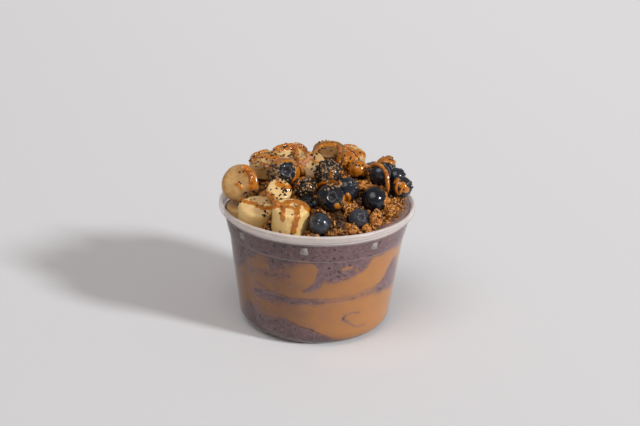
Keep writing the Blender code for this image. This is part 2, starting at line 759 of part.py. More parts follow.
def heap_height(x, y, edge):
    """Height of the granola, which rises to where each topping sits on it."""
    total = 0.0
    weight = 0.0
    for piece in SLICES + BERRIES:
        away = (piece.place[0] * MM - x) ** 2 + (piece.place[1] * MM - y) ** 2
        share = 1 / (away + HEAP_REACH ** 2) ** 1.5
        total += share * (lowest_point(piece) + HEAP_SEAT)
        weight += share
    rim = acai_height(x, y) + HEAP_EDGE_HEIGHT
    inward = min(max((edge - math.hypot(x, y)) / HEAP_SHOULDER, 0), 1)
    blend = inward * inward * (3 - 2 * inward)
    return rim + max(total / weight - rim, HEAP_LEAST_RISE) * blend


def heap_core(name, group, mat):
    """Closed mound on the acai: rings of quads over a flat underside."""
    bm = bmesh.new()
    rings = []
    for ring in range(1, HEAP_RINGS + 1):
        row = []
        for i in range(STEPS):
            angle = i * 360 / STEPS
            edge = heap_edge(angle)
            spot = on_cup(edge * (ring / HEAP_RINGS) ** HEAP_RING_SPREAD, angle, 0)
            spot.z = heap_height(spot.x, spot.y, edge)
            row.append(bm.verts.new(spot))
        rings.append(row)
    peak = bm.verts.new((0, 0, heap_height(0, 0, HEAP_EDGE_RADIUS)))
    under = []
    for i in range(STEPS):
        angle = i * 360 / STEPS
        spot = on_cup(heap_edge(angle), angle, 0)
        spot.z = acai_height(spot.x, spot.y) + GAP
        under.append(bm.verts.new(spot))
    middle = bm.verts.new((0, 0, acai_height(0, 0) + GAP))
    for i in range(STEPS):
        j = (i + 1) % STEPS
        bm.faces.new((peak, rings[0][i], rings[0][j]))
        bm.faces.new((middle, under[j], under[i]))
    for row, following in zip(rings, rings[1:] + [under]):
        bridge(bm, row, following)
    bmesh.ops.recalc_face_normals(bm, faces=bm.faces)
    return bmesh_object(name, bm, group, mat)


def lump(group, place, size, draw):
    """Uneven lump of oats."""
    bm = bmesh.new()
    bmesh.ops.create_icosphere(bm, subdivisions=1, radius=1)
    for vert in bm.verts:
        vert.co *= draw.uniform(*LUMP_UNEVENNESS)
    bmesh.ops.scale(bm, vec=[s * MM for s in size], verts=bm.verts)
    obj = bmesh_object("lump", bm, group)
    obj.matrix_world = Matrix.Translation(Vector(place) * MM) @ Matrix.Rotation(
        draw.uniform(0, math.tau), 4, 'Z')


def clear_of_toppings(x, y, z, margin):
    """Whether a point in mm lies outside every topping by a margin."""
    for piece in SLICES + BERRIES:
        reach = piece.radius + margin
        away = Vector((x, y, z)) - Vector(piece.place)
        if away.length < reach:
            return False
    return True


def make_granola(parts, mat):
    heap = heap_core("granola", parts, mat)
    draw = random.Random(CHUNK_SEED)
    added = new_collection("lumps")
    for place, size in LUMPS:
        lump(added, place, size, draw)
    placed = []
    for i in range(CHUNK_DRAWS):
        angle = draw.uniform(0, 360)
        edge = heap_edge(angle)
        radius = edge * math.sqrt(draw.uniform(0.05, 0.93))
        spot = on_cup(radius, angle, 0)
        height = heap_height(spot.x, spot.y, edge)
        x, y, z = spot.x / MM, spot.y / MM, height / MM + CHUNK_RISE
        size = draw.uniform(*CHUNK_SIZES)
        near = any(math.dist((x, y), other) < CHUNK_SPACING for other in placed)
        if near or not clear_of_toppings(x, y, z, CHUNK_CLEARANCE) or radius > edge - CHUNK_EDGE_MARGIN:
            continue
        lump(added, (x, y, z), [size * share for share in CHUNK_SHAPE], draw)
        placed.append((x, y))
        if len(placed) == CHUNK_LIMIT:
            break
    join_or_cut(heap, added, 'UNION')
    cut = new_collection("room in granola")
    topping_cutters(cut)
    join_or_cut(heap, cut, 'DIFFERENCE')
    return heap


def main():
    clear_scene()
    parts = new_collection("acai_bowl")
    clear_plastic = new_material("clear plastic", (0.86, 0.87, 0.87), 0.12, 0.9)
    acai_mat = new_material("acai", (0.16, 0.075, 0.095), 0.5)
    butter_mat = new_material("peanut butter", (0.43, 0.17, 0.045), 0.45)
    granola_mat = new_material("granola", (0.42, 0.2, 0.06), 0.65)
    banana_mat = new_material("banana", (0.78, 0.58, 0.28), 0.45)
    berry_mat = new_material("blueberry", (0.02, 0.025, 0.045), 0.35)
    make_cup(parts, clear_plastic)
    make_peanut_butter(parts, butter_mat)
    make_acai(parts, acai_mat)
    make_granola(parts, granola_mat)
    make_slices(parts, banana_mat)
    make_berries(parts, berry_mat)


main()
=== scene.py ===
import json
import math
import random

import bmesh
import bpy
from bpy.props import FloatProperty, FloatVectorProperty, IntProperty, PointerProperty
from mathutils import Matrix, Vector, noise
from mathutils.bvhtree import BVHTree

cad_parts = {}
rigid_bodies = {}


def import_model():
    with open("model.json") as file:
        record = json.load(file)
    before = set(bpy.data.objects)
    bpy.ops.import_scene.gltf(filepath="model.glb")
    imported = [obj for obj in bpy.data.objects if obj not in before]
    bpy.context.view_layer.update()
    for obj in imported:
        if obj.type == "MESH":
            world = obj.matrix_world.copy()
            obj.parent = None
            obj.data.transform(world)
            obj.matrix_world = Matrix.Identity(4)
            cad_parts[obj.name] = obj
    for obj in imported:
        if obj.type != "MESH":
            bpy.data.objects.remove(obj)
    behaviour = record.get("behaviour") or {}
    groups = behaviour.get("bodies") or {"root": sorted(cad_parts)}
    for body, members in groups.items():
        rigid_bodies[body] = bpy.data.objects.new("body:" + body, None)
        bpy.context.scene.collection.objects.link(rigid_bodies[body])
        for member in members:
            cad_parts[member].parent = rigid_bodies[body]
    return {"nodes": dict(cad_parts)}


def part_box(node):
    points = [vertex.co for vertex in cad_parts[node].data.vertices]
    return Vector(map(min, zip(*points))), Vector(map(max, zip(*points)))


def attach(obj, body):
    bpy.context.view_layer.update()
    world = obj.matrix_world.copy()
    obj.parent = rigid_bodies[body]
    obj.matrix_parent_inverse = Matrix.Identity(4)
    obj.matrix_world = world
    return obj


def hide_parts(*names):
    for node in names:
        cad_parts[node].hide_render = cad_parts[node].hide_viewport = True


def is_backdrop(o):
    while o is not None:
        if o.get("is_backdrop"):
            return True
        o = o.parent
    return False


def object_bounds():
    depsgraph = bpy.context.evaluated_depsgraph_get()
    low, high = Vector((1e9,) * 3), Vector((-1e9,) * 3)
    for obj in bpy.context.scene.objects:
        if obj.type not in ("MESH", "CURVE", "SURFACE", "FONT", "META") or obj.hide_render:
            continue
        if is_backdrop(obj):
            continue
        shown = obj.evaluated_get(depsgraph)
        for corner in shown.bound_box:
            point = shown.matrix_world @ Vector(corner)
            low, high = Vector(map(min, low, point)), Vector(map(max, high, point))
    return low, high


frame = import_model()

bl_info = {
    "name": "Acai Bowl Looks",
    "version": (1, 0, 0),
    "blender": (4, 5, 0),
    "location": "View3D > Sidebar > Acai Bowl",
    "description": "Dresses the acai bowl's solids: cup, swirl, fruit, granola, seeds and drizzle",
    "category": "Object",
}

CAD_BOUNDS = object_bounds()
# Nothing rises past this
TOP = CAD_BOUNDS[1][2]
BODY = "root"
MM = 0.001
UP = Vector((0, 0, 1))

# Cup, with its solid's driving sizes but for the lugs, which reach 1.3 mm higher
CUP_LOW, CUP_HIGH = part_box("cup")
CUP_HEIGHT = CUP_HIGH.z
LIP_RADIUS = CUP_HIGH.x
WALL = 0.8 * MM
CORNER_CENTRE = 35.9 * MM
CORNER_RADIUS = 10.0 * MM
WALL_FOOT_RADIUS = 44.7 * MM
WALL_SLOPE = 0.1314
STEP_HEIGHT = 58.2 * MM
STEP_RISE = 0.3 * MM
STEP_OUT = 0.6 * MM
BAND_TOP = 69.4 * MM
BAND_TOP_RADIUS = 55.5 * MM
NECK_HEIGHT = 69.9 * MM
NECK_RADIUS = 56.0 * MM
LIP_MIDDLE_RADIUS = 57.2 * MM
LIP_INNER_RADIUS = 56.0 * MM
SKIRT_FOOT = 72.5 * MM
FOOT_INNER_RADIUS = 32.0 * MM
FOOT_RECESS = 0.95 * MM
LUGS = 8
LUG_FIRST = -52.0
LUG_FOOT = 62.9 * MM
LUG_TOP = 69.0 * MM
LUG_WIDTH = 4.7 * MM
LUG_DEPTH = 1.3 * MM
LUG_ROOT = 0.45 * MM
LUG_BEVEL = 0.5 * MM
BASE_RING = 1.0 * MM
CUP_STEPS = 192

# The acai's top slopes up to the right
ACAI_LEVEL = 72.0 * MM
ACAI_TILT = 3.0 * MM
ACAI_TILT_REACH = 55.0 * MM
ACAI_HIGH_SIDE = 80.0

# Peanut butter outline on the wall: (degrees from the front, height in mm)
SWIRL_TOP = (
    (-72, 36), (-65, 39.7), (-54, 48.2), (-45, 54.9), (-38, 57.2), (-33.5, 57), (-31, 48),
    (-27, 48.6), (-17, 53), (-12, 56), (-3, 56.6), (1, 55), (3, 44), (14, 44.3), (25, 46.3),
    (33, 49.5), (41, 56.2), (53, 57.8), (68, 56), (90, 50), (112, 44), (135, 51), (158, 57),
    (180, 46), (203, 38), (226, 47), (250, 53), (270, 43),
)
SWIRL_FOOT = (
    (-72, 8), (-64, 15), (-57, 22), (-50, 19.5), (-43, 16), (-34, 16.3), (-21, 18.3), (-12, 14.4),
    (-3, 12.7), (5, 9.7), (14, 6), (22, 3), (60, 2.5), (78, 8), (95, 16), (118, 12), (140, 20),
    (165, 15), (190, 8), (215, 13), (240, 22), (262, 15),
)
STREAK_TOP = (
    (-49, 31.5), (-44, 33), (-38, 33.7), (-25, 33.9), (-18, 32.9), (1, 32.9), (15, 33.5),
    (26, 34), (39, 35.9), (49, 37.4), (54, 40), (57, 45), (62, 48.5), (68, 50), (72, 46), (76, 40),
)
STREAK_FOOT = (
    (-49, 31), (-44, 28.4), (-35, 28), (-25, 28.6), (-15, 28.6), (1, 29.3), (25, 30.6),
    (45, 30.8), (57, 30.1), (70, 28.5), (76, 30),
)
TONGUE_TOP = ((-9, 37.8), (-5, 40.5), (-1, 43.4), (1, 49.5), (4, 56.5))
TONGUE_FOOT = ((-9, 37.2), (-3, 38.3), (4, 41.2))
WALL_MM_PER_DEGREE = 0.85
# Swirl's depth into the cup in mm, how far that varies, and the depth of the streaks' cuts
SWIRL_DEPTH = 5.0
SWIRL_DEPTH_WAVE = 1.2
WEDGE_DEPTH = 9 * MM
SWIRL_ROWS = 64
# The swirl's outlines start here, in degrees
SWIRL_SEAM = 288
# Marks in the swirl: stroke on the wall, width in mm, and the butter's share there
MARKS = (
    (((23, 21.6), (28, 22), (35, 21.2)), 1.3, 0.35),
    (((22, 20.5), (21.5, 18.0), (25, 16.2)), 1.7, 0.15),
    (((25, 16.2), (30, 13.0), (35, 11.3), (42, 11.4)), 1.4, 0.4),
    (((-50, 45.0), (-40, 45.6), (-30, 46.6), (-17, 47.2)), 3.6, 0.5),
    (((-44, 37.0), (-36, 37.4)), 3.0, 0.75),
    (((18, 52.6), (21, 53.4), (24, 53.2)), 1.6, 0.8),
    (((27, 51.0), (30, 50.4)), 1.2, 0.5),
)


class Slice:
    """Banana slice at its solid's place: centre and size in mm, lean, heading and ripeness; the
    ripeness value also darkens slices as painted shade.
    """

    def __init__(self, place, radius, thickness, lean, heading, ripeness_and_shade):
        self.ripeness_and_shade = ripeness_and_shade
        self.place = Vector(place) * MM
        self.radius = radius * MM
        self.thickness = thickness * MM
        self.matrix = tipped(self.place, lean, heading)


class Berry:
    """Blueberry at its solid's place: centre, radius, crown's lean and heading, coat and bloom.

    The coat stays off the crown, up to bare degrees from its middle."""

    def __init__(self, place, radius, lean, heading, coat, bloom, bare=20):
        self.bare = bare
        self.place = Vector(place) * MM
        self.radius = radius * MM
        self.coat = coat
        self.bloom = bloom
        self.matrix = tipped(self.place, lean, heading)


def tipped(place, lean, heading):
    """Matrix that tips an upright piece by a lean towards a heading, 0 to the front, 90 right."""
    return (Matrix.Translation(place)
            @ Matrix.Rotation(math.radians(heading), 4, 'Z')
            @ Matrix.Rotation(math.radians(lean), 4, 'X'))


# The last number, ripeness, also serves as painted shade that darkens the slices lying in shade
SLICES = (
    Slice((-45.6, -7.0, 87.5), 11.2, 9.0, 64, 8, 0.9),
    Slice((-43.5, -6.5, 71.0), 10.3, 8.6, 8, -60, 0.45),
    Slice((-34.6, -27.6, 76.3), 11.2, 14.6, 13, 4, 0.12),
    Slice((-14.8, -41.4, 80.0), 11.0, 16.8, 8, 10, 0),
    Slice((-22.2, -24.9, 90.3), 7.4, 6.4, 40, 20, 0.25),
    Slice((-31.0, 10.1, 93.2), 10.1, 10.6, 15, -30, 0.55),
    Slice((-17.3, 35.7, 90.2), 11.0, 9.8, 8, 0, 0.05),
    Slice((6.1, 26.2, 96.1), 9.9, 8.8, 12, -10, 1.0),
    Slice((19.7, 41.2, 88.9), 9.5, 8.8, 12, 40, 0.5),
    Slice((-4.0, 9.4, 93.6), 8.9, 7.8, 52, -15, 0.6),
    Slice((-38.4, 24.9, 79.7), 10.6, 8.8, 30, -120, 0.4),
    Slice((0.8, 45.6, 80.6), 10.1, 8.6, 30, 170, 0.4),
)
BERRIES = (
    Berry((-19.7, -7.0, 95.0), 8.9, 62, 12, 0.0, 0.3, 30),
    Berry((6.3, -6.2, 94.6), 8.8, 30, 200, 0.0, 0.3),
    Berry((16.6, -18.8, 90.4), 7.7, 50, 60, 0.0, 0.2),
    Berry((7.8, -32.4, 90.2), 8.1, 66, 5, 0.0, 0.12, 30),
    Berry((-7.0, -15.1, 88.8), 6.8, 40, -40, 0.0, 0.25),
    Berry((-5.2, -26.2, 82.4), 6.2, 50, 40, 0.0, 0.3),
    Berry((1.8, -48.0, 80.1), 6.5, 62, -35, 0.0, 0.6),
    Berry((24.2, -38.2, 79.5), 6.3, 55, 15, 0.0, 0.95),
    Berry((32.9, -21.2, 85.0), 8.0, 80, 100, 0.0, 0.05),
    Berry((36.5, -2.2, 93.8), 6.7, 70, 190, 0.0, 0.25),
    Berry((40.7, 17.0, 91.6), 6.2, 60, 140, 0.0, 0.3),
    Berry((49.3, -7.1, 88.2), 6.7, 70, 60, 0.0, 0.2),
    Berry((46.5, 6.0, 89.5), 5.9, 60, 110, 0.0, 0.3),
    Berry((23.9, 4.5, 93.8), 5.8, 80, 250, 0.75, 0.1),
    Berry((16.5, 13.7, 95.9), 5.8, 70, 330, 1.0, 0.1),
    Berry((32.4, 31.8, 82.7), 6.3, 50, 150, 0.0, 0.8),
    Berry((42.6, 23.7, 80.8), 6.1, 55, 120, 0.2, 0.6),
    Berry((20.6, 25.7, 84.6), 6.2, 60, 200, 0.0, 0.7),
)

# Camera at the photograph's viewing angle, worked out from the cup's rim, step and base
PICTURE_WIDTH = 640
PICTURE_MIDDLE = (320, 213)
VIEW_FOCAL = 1506
VIEW_DISTANCE = 0.9
VIEW_HEIGHT = 21.9
VIEW_ROLL = 1.68
VIEW_TARGET = (1.82 * MM, 0.0, 67.4 * MM)
SENSOR = 36.0


def view_axes():
    """The camera's place and its right, up and backward directions."""
    rise = math.radians(VIEW_HEIGHT)
    roll = math.radians(VIEW_ROLL)
    back = Vector((0, -math.cos(rise), math.sin(rise)))
    level_right = Vector((1, 0, 0))
    level_up = back.cross(level_right)
    right = level_right * math.cos(roll) + level_up * math.sin(roll)
    up = level_up * math.cos(roll) - level_right * math.sin(roll)
    return Vector(VIEW_TARGET) + back * VIEW_DISTANCE, right, up, back


EYE, EYE_RIGHT, EYE_UP, EYE_BACK = view_axes()


def sight(px, py):
    """Origin and direction of the line of sight through a pixel of the 640 x 426 picture."""
    across = (px - PICTURE_MIDDLE[0]) / VIEW_FOCAL
    down = (py - PICTURE_MIDDLE[1]) / VIEW_FOCAL
    return EYE, (EYE_RIGHT * across - EYE_UP * down - EYE_BACK).normalized()


def in_picture(point):
    """Pixel of the 640 x 426 picture that a point falls on."""
    offset = point - EYE
    scale = VIEW_FOCAL / -offset.dot(EYE_BACK)
    return Vector((PICTURE_MIDDLE[0] + scale * offset.dot(EYE_RIGHT),
                   PICTURE_MIDDLE[1] - scale * offset.dot(EYE_UP)))


def smooth(value, low, high):
    """Smooth step of a value from 0 at low to 1 at high."""
    part = min(max((value - low) / (high - low), 0.0), 1.0)
    return part * part * (3 - 2 * part)


def on_cup(radius, angle, height):
    """Point at an angle in degrees from the front, positive to the right."""
    turn = math.radians(angle)
    return Vector((radius * math.sin(turn), -radius * math.cos(turn), height))


def arc(centre, radius, start, end, count):
    """Points on an arc about (radius, height), from one angle in degrees to another."""
    angles = [math.radians(start + (end - start) * i / count) for i in range(count + 1)]
    return [(centre[0] + radius * math.cos(a), centre[1] + radius * math.sin(a)) for a in angles]


class Outline:
    """Line on the wall through (degrees, mm) points, eased between them, with a slight waver."""

    def __init__(self, points, seed=0.0, waver=0.0, closed=False):
        self.start = points[0][0]
        self.end = points[-1][0]
        self.points = points + ((self.start + 360, points[0][1]),) if closed else points
        self.closed = closed
        self.seed = seed
        self.waver = waver

    def __call__(self, angle):
        """Height in mm at an angle."""
        turn = math.radians(angle)
        spot = Vector((math.sin(turn) * 7, math.cos(turn) * 7, self.seed))
        uneven = self.waver * (noise.noise(spot) + 0.6 * noise.noise(spot * 3.1))
        return self.read(angle) + uneven

    def read(self, angle):
        """Height in mm at an angle, without the waver."""
        around = self.start + (angle - self.start) % 360 if self.closed else angle
        for (a0, z0), (a1, z1) in zip(self.points, self.points[1:]):
            if around <= a1:
                part = min(max((around - a0) / (a1 - a0), 0), 1)
                return z0 + (z1 - z0) * (0.5 * part + 0.5 * part * part * (3 - 2 * part))
        return self.points[-1][1]


swirl_top = Outline(SWIRL_TOP, 1.0, 0.7, True)
swirl_foot = Outline(SWIRL_FOOT, 5.0, 0.7, True)
streak_top = Outline(STREAK_TOP, 9.0, 0.5)
streak_foot = Outline(STREAK_FOOT, 14.0, 0.5)
tongue_top = Outline(TONGUE_TOP)
tongue_foot = Outline(TONGUE_FOOT)


def between(top, foot, angle, z, soft):
    """1 inside a band of the wall, falling to 0 over its soft edge."""
    if not top.start <= angle <= top.end:
        return 0.0
    inside = min(top(angle) - z, z - foot(angle), angle - top.start, top.end - angle)
    return smooth(inside, -soft, soft)


def stroke_distance(stroke, spot):
    """Distance from a flat spot to a stroke through flat points."""
    best = 1e9
    for first, second in zip(stroke, stroke[1:]):
        start = Vector(first)
        span = Vector(second) - start
        part = min(max((spot - start).dot(span) / span.length_squared, 0), 1)
        best = min(best, (spot - start - span * part).length)
    return best


def near_stroke(stroke, angle, z, width):
    """1 on a stroke drawn on the wall, falling to 0 past its width in mm."""
    flat = [(a * WALL_MM_PER_DEGREE, high) for a, high in stroke]
    return 1 - smooth(stroke_distance(flat, Vector((angle * WALL_MM_PER_DEGREE, z))),
                      width * 0.2, width)


def butter_share(angle, z):
    """How much peanut butter shows on the wall at an angle and a height in mm."""
    angle = (angle + 180) % 360 - 180
    turn = math.radians(angle)
    spot = Vector((math.sin(turn) * 48, math.cos(turn) * 48, z))
    grain = noise.noise(spot * 0.45) * 0.9 + noise.noise(spot * 1.3) * 0.4
    soft = 2.7 + 1.5 * noise.noise(spot * 0.09)
    if z > 40:
        soft += 4.6 * smooth(angle, -36, -30) * (1 - smooth(angle, -12, 0))
    outline_angle = angle if angle > -72 else angle + 360
    inside = min(swirl_top(outline_angle) - z, z - swirl_foot(outline_angle)) + grain
    share = smooth(inside, -soft, soft)
    thin = 1 - 0.4 * smooth(angle, -5, 15) + 0.4 * smooth(angle, 44, 52)
    share *= 1 - thin * between(streak_top, streak_foot, angle, z + 0.5 * grain, 3.0)
    share *= 1 - between(tongue_top, tongue_foot, angle, z, 1.3)
    for stroke, width, kept in MARKS:
        share += (kept - share) * near_stroke(stroke, angle, z + 0.6 * grain, width)
    return share


def wall_inside(height):
    """Radius of the cup's inner surface at a height."""
    if height < CORNER_RADIUS * 0.87:
        reach = CORNER_RADIUS - WALL
        drop = min(CORNER_RADIUS - height, reach)
        return CORNER_CENTRE + math.sqrt(reach ** 2 - drop ** 2)
    if height <= STEP_HEIGHT:
        return WALL_FOOT_RADIUS + WALL_SLOPE * height - WALL
    foot = WALL_FOOT_RADIUS + WALL_SLOPE * STEP_HEIGHT + STEP_OUT
    levels = ((STEP_HEIGHT, foot), (BAND_TOP, BAND_TOP_RADIUS + 0.1 * MM),
              (NECK_HEIGHT + 0.2 * MM, NECK_RADIUS),
              (CUP_HEIGHT - 1.5 * MM, LIP_INNER_RADIUS + 0.4 * MM))
    for (z0, r0), (z1, r1) in zip(levels, levels[1:]):
        if height <= z1:
            return r0 + (r1 - r0) * (height - z0) / (z1 - z0) - WALL
    return LIP_INNER_RADIUS + 0.4 * MM - WALL


def acai_height(x, y):
    """Height of the acai's top, a plane that slopes up to the right."""
    high = on_cup(1, ACAI_HIGH_SIDE, 0)
    return ACAI_LEVEL + ACAI_TILT * (x * high.x + y * high.y) / ACAI_TILT_REACH


class Value:
    """A shader value: working with it adds Math nodes."""

    def __init__(self, paint, socket):
        self.paint = paint
        self.socket = socket

    def math(self, operation, *values):
        node = self.paint.node('ShaderNodeMath', {"operation": operation}, dict(enumerate(values)))
        return Value(self.paint, node.outputs[0])

    def at_most(self, other):
        return self.math('MINIMUM', self, other)

    def step(self, low, high):
        """Smooth step of this value from 0 at low to 1 at high."""
        node = self.paint.node('ShaderNodeMapRange', {"interpolation_type": 'SMOOTHSTEP'},
                               {"Value": self, "From Min": low, "From Max": high})
        return Value(self.paint, node.outputs[0])


# Signs between values and numbers, either way round
for sign, operation in (("add", 'ADD'), ("sub", 'SUBTRACT'), ("mul", 'MULTIPLY')):
    setattr(Value, "__%s__" % sign,
            lambda self, other, kind=operation: self.math(kind, self, other))
    setattr(Value, "__r%s__" % sign,
            lambda self, other, kind=operation: self.math(kind, other, self))


def times(colour, *factors):
    """Colour with its channels multiplied by one factor, or by one each."""
    return tuple(c * f for c, f in zip(colour, factors * 3))


def rgba(colour):
    """Colour with its alpha, or a link as it is."""
    return colour if isinstance(colour, (Value, bpy.types.NodeSocket)) else (*colour, 1.0)


class Paint:
    """A material under construction."""

    def __init__(self, name):
        self.material = bpy.data.materials.new(name)
        self.material.use_nodes = True
        self.tree = self.material.node_tree
        self.tree.nodes.clear()
        self.coordinates = None

    def node(self, kind, settings=None, inputs=None):
        """A node of any type, its settings first and then the values or links of its sockets."""
        node = self.tree.nodes.new(kind)
        for key, value in (settings or {}).items():
            setattr(node, key, value)
        for key, value in (inputs or {}).items():
            if isinstance(value, Value):
                value = value.socket
            if isinstance(value, bpy.types.NodeSocket):
                self.tree.links.new(value, node.inputs[key])
            else:
                node.inputs[key].default_value = value
        return node

    def place(self):
        """Coordinates of the piece itself, in metres."""
        if self.coordinates is None:
            self.coordinates = self.node('ShaderNodeTexCoord').outputs["Object"]
        return self.coordinates

    def stretched(self, scale):
        node = self.node('ShaderNodeMapping', {"vector_type": 'POINT'},
                         {"Vector": self.place(), "Scale": scale})
        return node.outputs[0]

    def noise(self, size, detail=3.0, roughness=0.55, vector=None):
        """Noise with features of about the given size in metres."""
        node = self.node('ShaderNodeTexNoise', None, {
            "Vector": vector or self.place(), "Scale": 1 / size, "Detail": detail,
            "Roughness": roughness})
        return Value(self, node.outputs["Fac"])

    def cells(self, size):
        """Distance to the nearest of scattered points, in units of the cell size."""
        node = self.node('ShaderNodeTexVoronoi', None, {"Vector": self.place(), "Scale": 1 / size})
        return Value(self, node.outputs["Distance"])

    def attribute(self, name):
        node = self.node('ShaderNodeAttribute', {"attribute_name": name})
        return Value(self, node.outputs["Fac"])

    def axis(self, which):
        node = self.node('ShaderNodeSeparateXYZ', None, {"Vector": self.place()})
        return Value(self, node.outputs[which])

    def mix(self, share, first, second):
        """Colour that goes from the first to the second as the share goes from 0 to 1."""
        node = self.node('ShaderNodeMix', {"data_type": 'RGBA'},
                         {"Factor": share, 6: rgba(first), 7: rgba(second)})
        return node.outputs[2]

    def bump(self, height, depth, strength):
        """Normal from a height of 0 to 1 over a depth in metres."""
        node = self.node('ShaderNodeBump', None, {
            "Height": height, "Distance": depth, "Strength": strength})
        return node.outputs[0]

    def caramel(self, base, share, colour):
        """Colour with caramel over it where the share is high, and how much covers it."""
        cover = (share + (self.noise(1.6 * MM, 4, 0.65) - 0.5) * 0.45).step(0.22, 0.68)
        thick = self.caramel_tones(colour, 0.75)
        thin = times(colour, 1.14, 1.4, 2.2)
        return self.mix(cover, base, self.mix(share.step(0.35, 0.95), thin, thick)), cover

    def caramel_tones(self, colour, strength):
        """Caramel with darker patches."""
        tone = self.noise(3.4 * MM, 4, 0.6).step(0.36, 0.72)
        return self.mix(tone * strength, colour, times(colour, 0.45, 0.3, 0.3))

    def shader(self, base, roughness, normal=None, **constants):
        inputs = {"Roughness": roughness, "Base Color": rgba(base)}
        if normal:
            inputs["Normal"] = normal
        for key, value in constants.items():
            inputs[key.replace("_", " ")] = value
        return self.node('ShaderNodeBsdfPrincipled', None, inputs)

    def finish(self, shader):
        self.node('ShaderNodeOutputMaterial', None, {"Surface": shader.outputs[0]})
        return self.material


def colour_property(name, description, default):
    return FloatVectorProperty(name=name, description=description, default=default, subtype='COLOR',
                               size=3, min=0.0, max=1.0)


def number_property(name, description, default, **more):
    return FloatProperty(name=name, description=description, default=default, **more)


def angle_property(name, description, degrees):
    return number_property(name, description, math.radians(degrees), subtype='ANGLE')


class CupLooks(bpy.types.PropertyGroup):
    """Clear cup."""

    tint: colour_property("Tint", "Colour of the clear plastic", (0.93, 0.935, 0.935))
    roughness: number_property("Roughness", "Roughness of the wall", 0.05)
    clearness: number_property("Clearness", "Share of the wall seen through", 0.985,
                               subtype='FACTOR')
    lip_clearness: number_property("Lip clearness", "Share of the lip seen through", 0.53,
                                   subtype='FACTOR')
    cloud: colour_property("Cloud", "Colour of the milky lip and lugs", (0.92, 0.83, 0.78))


class FillLooks(bpy.types.PropertyGroup):
    """Acai and peanut butter."""

    acai: colour_property("Acai", "Main colour of the acai", (0.152, 0.076, 0.079))
    acai_pale: colour_property("Acai frost", "Pale icy flecks", (0.31, 0.22, 0.22))
    acai_dark: colour_property("Acai skin", "Dark specks of fruit skin", (0.035, 0.016, 0.024))
    butter: colour_property("Peanut butter", "Peanut butter on the wall", (0.46, 0.20, 0.055))


class FruitLooks(bpy.types.PropertyGroup):
    """Bananas and blueberries."""

    flesh: colour_property("Banana", "Cut banana", (0.87, 0.60, 0.26))
    rim: colour_property("Banana rim", "Outer side of the slice", (0.84, 0.55, 0.19))
    skin: colour_property("Blueberry skin", "Wet skin", (0.006, 0.007, 0.011))
    bloom: colour_property("Blueberry bloom", "Waxy bloom on the skin", (0.075, 0.087, 0.115))


class ToppingLooks(bpy.types.PropertyGroup):
    """Granola, seeds and drizzle."""

    granola: colour_property("Granola", "Toasted oats", (0.34, 0.11, 0.014))
    granola_pale: colour_property("Granola pale", "Pale edges of the oats", (0.74, 0.32, 0.065))
    drizzle: colour_property("Drizzle", "Peanut butter and caramel drizzle", (0.57, 0.185, 0.008))
    seeds: IntProperty(name="Seeds", description="Chia seeds scattered from above", default=230)
    oats: IntProperty(name="Oats", description="Oats on the heap", default=1500)
    threads: IntProperty(name="Threads", description="Sticky threads on the heap", default=220)


class StageLooks(bpy.types.PropertyGroup):
    """Floor, lights and camera."""

    floor: colour_property("Floor", "Pale floor", (0.82, 0.812, 0.817))
    key_strength: number_property("Key light", "Strength of the key light", 2.3)
    key_side: angle_property("Key side", "Direction of the key light from the front", 62)
    key_rise: angle_property("Key height", "Height of the key light", 30)
    top_strength: number_property("Top light", "Strength of the broad top light", 1.06)
    top_side: angle_property("Top side", "Direction of the top light from the front", -30)
    top_rise: angle_property("Top height", "Height of the top light", 62)
    sky: number_property("Fill light", "Strength of the light all round", 0.22)


def mesh_from(name, verts, faces):
    mesh = bpy.data.meshes.new(name)
    mesh.from_pydata(verts, [], faces)
    mesh.update()
    mesh.shade_smooth()
    return mesh


def mesh_of(bm, name):
    """Mesh of a finished bmesh."""
    mesh = bpy.data.meshes.new(name)
    bm.to_mesh(mesh)
    bm.free()
    return mesh


def placed(name, data):
    """New object in the scene."""
    piece = bpy.data.objects.new(name, data)
    bpy.context.scene.collection.objects.link(piece)
    return piece


def evaluated(piece):
    """The piece's mesh with its modifiers applied."""
    graph = bpy.context.evaluated_depsgraph_get()
    return bpy.data.meshes.new_from_object(piece.evaluated_get(graph))


def add_piece(name, mesh, slot, materials, node=None, matrix=None, shift=None):
    """Puts a piece in the scene, on its body, and hides the solid that it stands for.

    A matrix moves it to its place. With a shift, it gets its caramel before it rides."""
    piece = placed(name, mesh)
    mesh.materials.clear()
    for material in materials:
        mesh.materials.append(material)
    if matrix:
        piece.matrix_world = matrix
    if shift is not None:
        add_glaze(piece, shift)
    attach(piece, BODY)
    if node:
        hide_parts(node)
    return piece


def set_values(mesh, name, values):
    """Stores one number for each vertex, for the material to read."""
    attribute = mesh.attributes.new(name, 'FLOAT', 'POINT')
    attribute.data.foreach_set("value", values)


def lathe(profile, steps):
    """Vertices and faces turned about Z from (radius, height) points, up the inside first."""
    verts = []
    rows = []
    for radius, height in profile:
        if radius < 1e-6:
            rows.append([len(verts)] * steps)
            verts.append((0, 0, height))
            continue
        row = []
        for i in range(steps):
            row.append(len(verts))
            verts.append(tuple(on_cup(radius, i * 360 / steps, height)))
        rows.append(row)
    faces = []
    for row, following in zip(rows, rows[1:]):
        for i in range(steps):
            j = (i + 1) % steps
            corners = [row[i], following[i], following[j], row[j]]
            face = [c for k, c in enumerate(corners) if c not in corners[:k]]
            if len(face) > 2:
                faces.append(face)
    return verts, faces


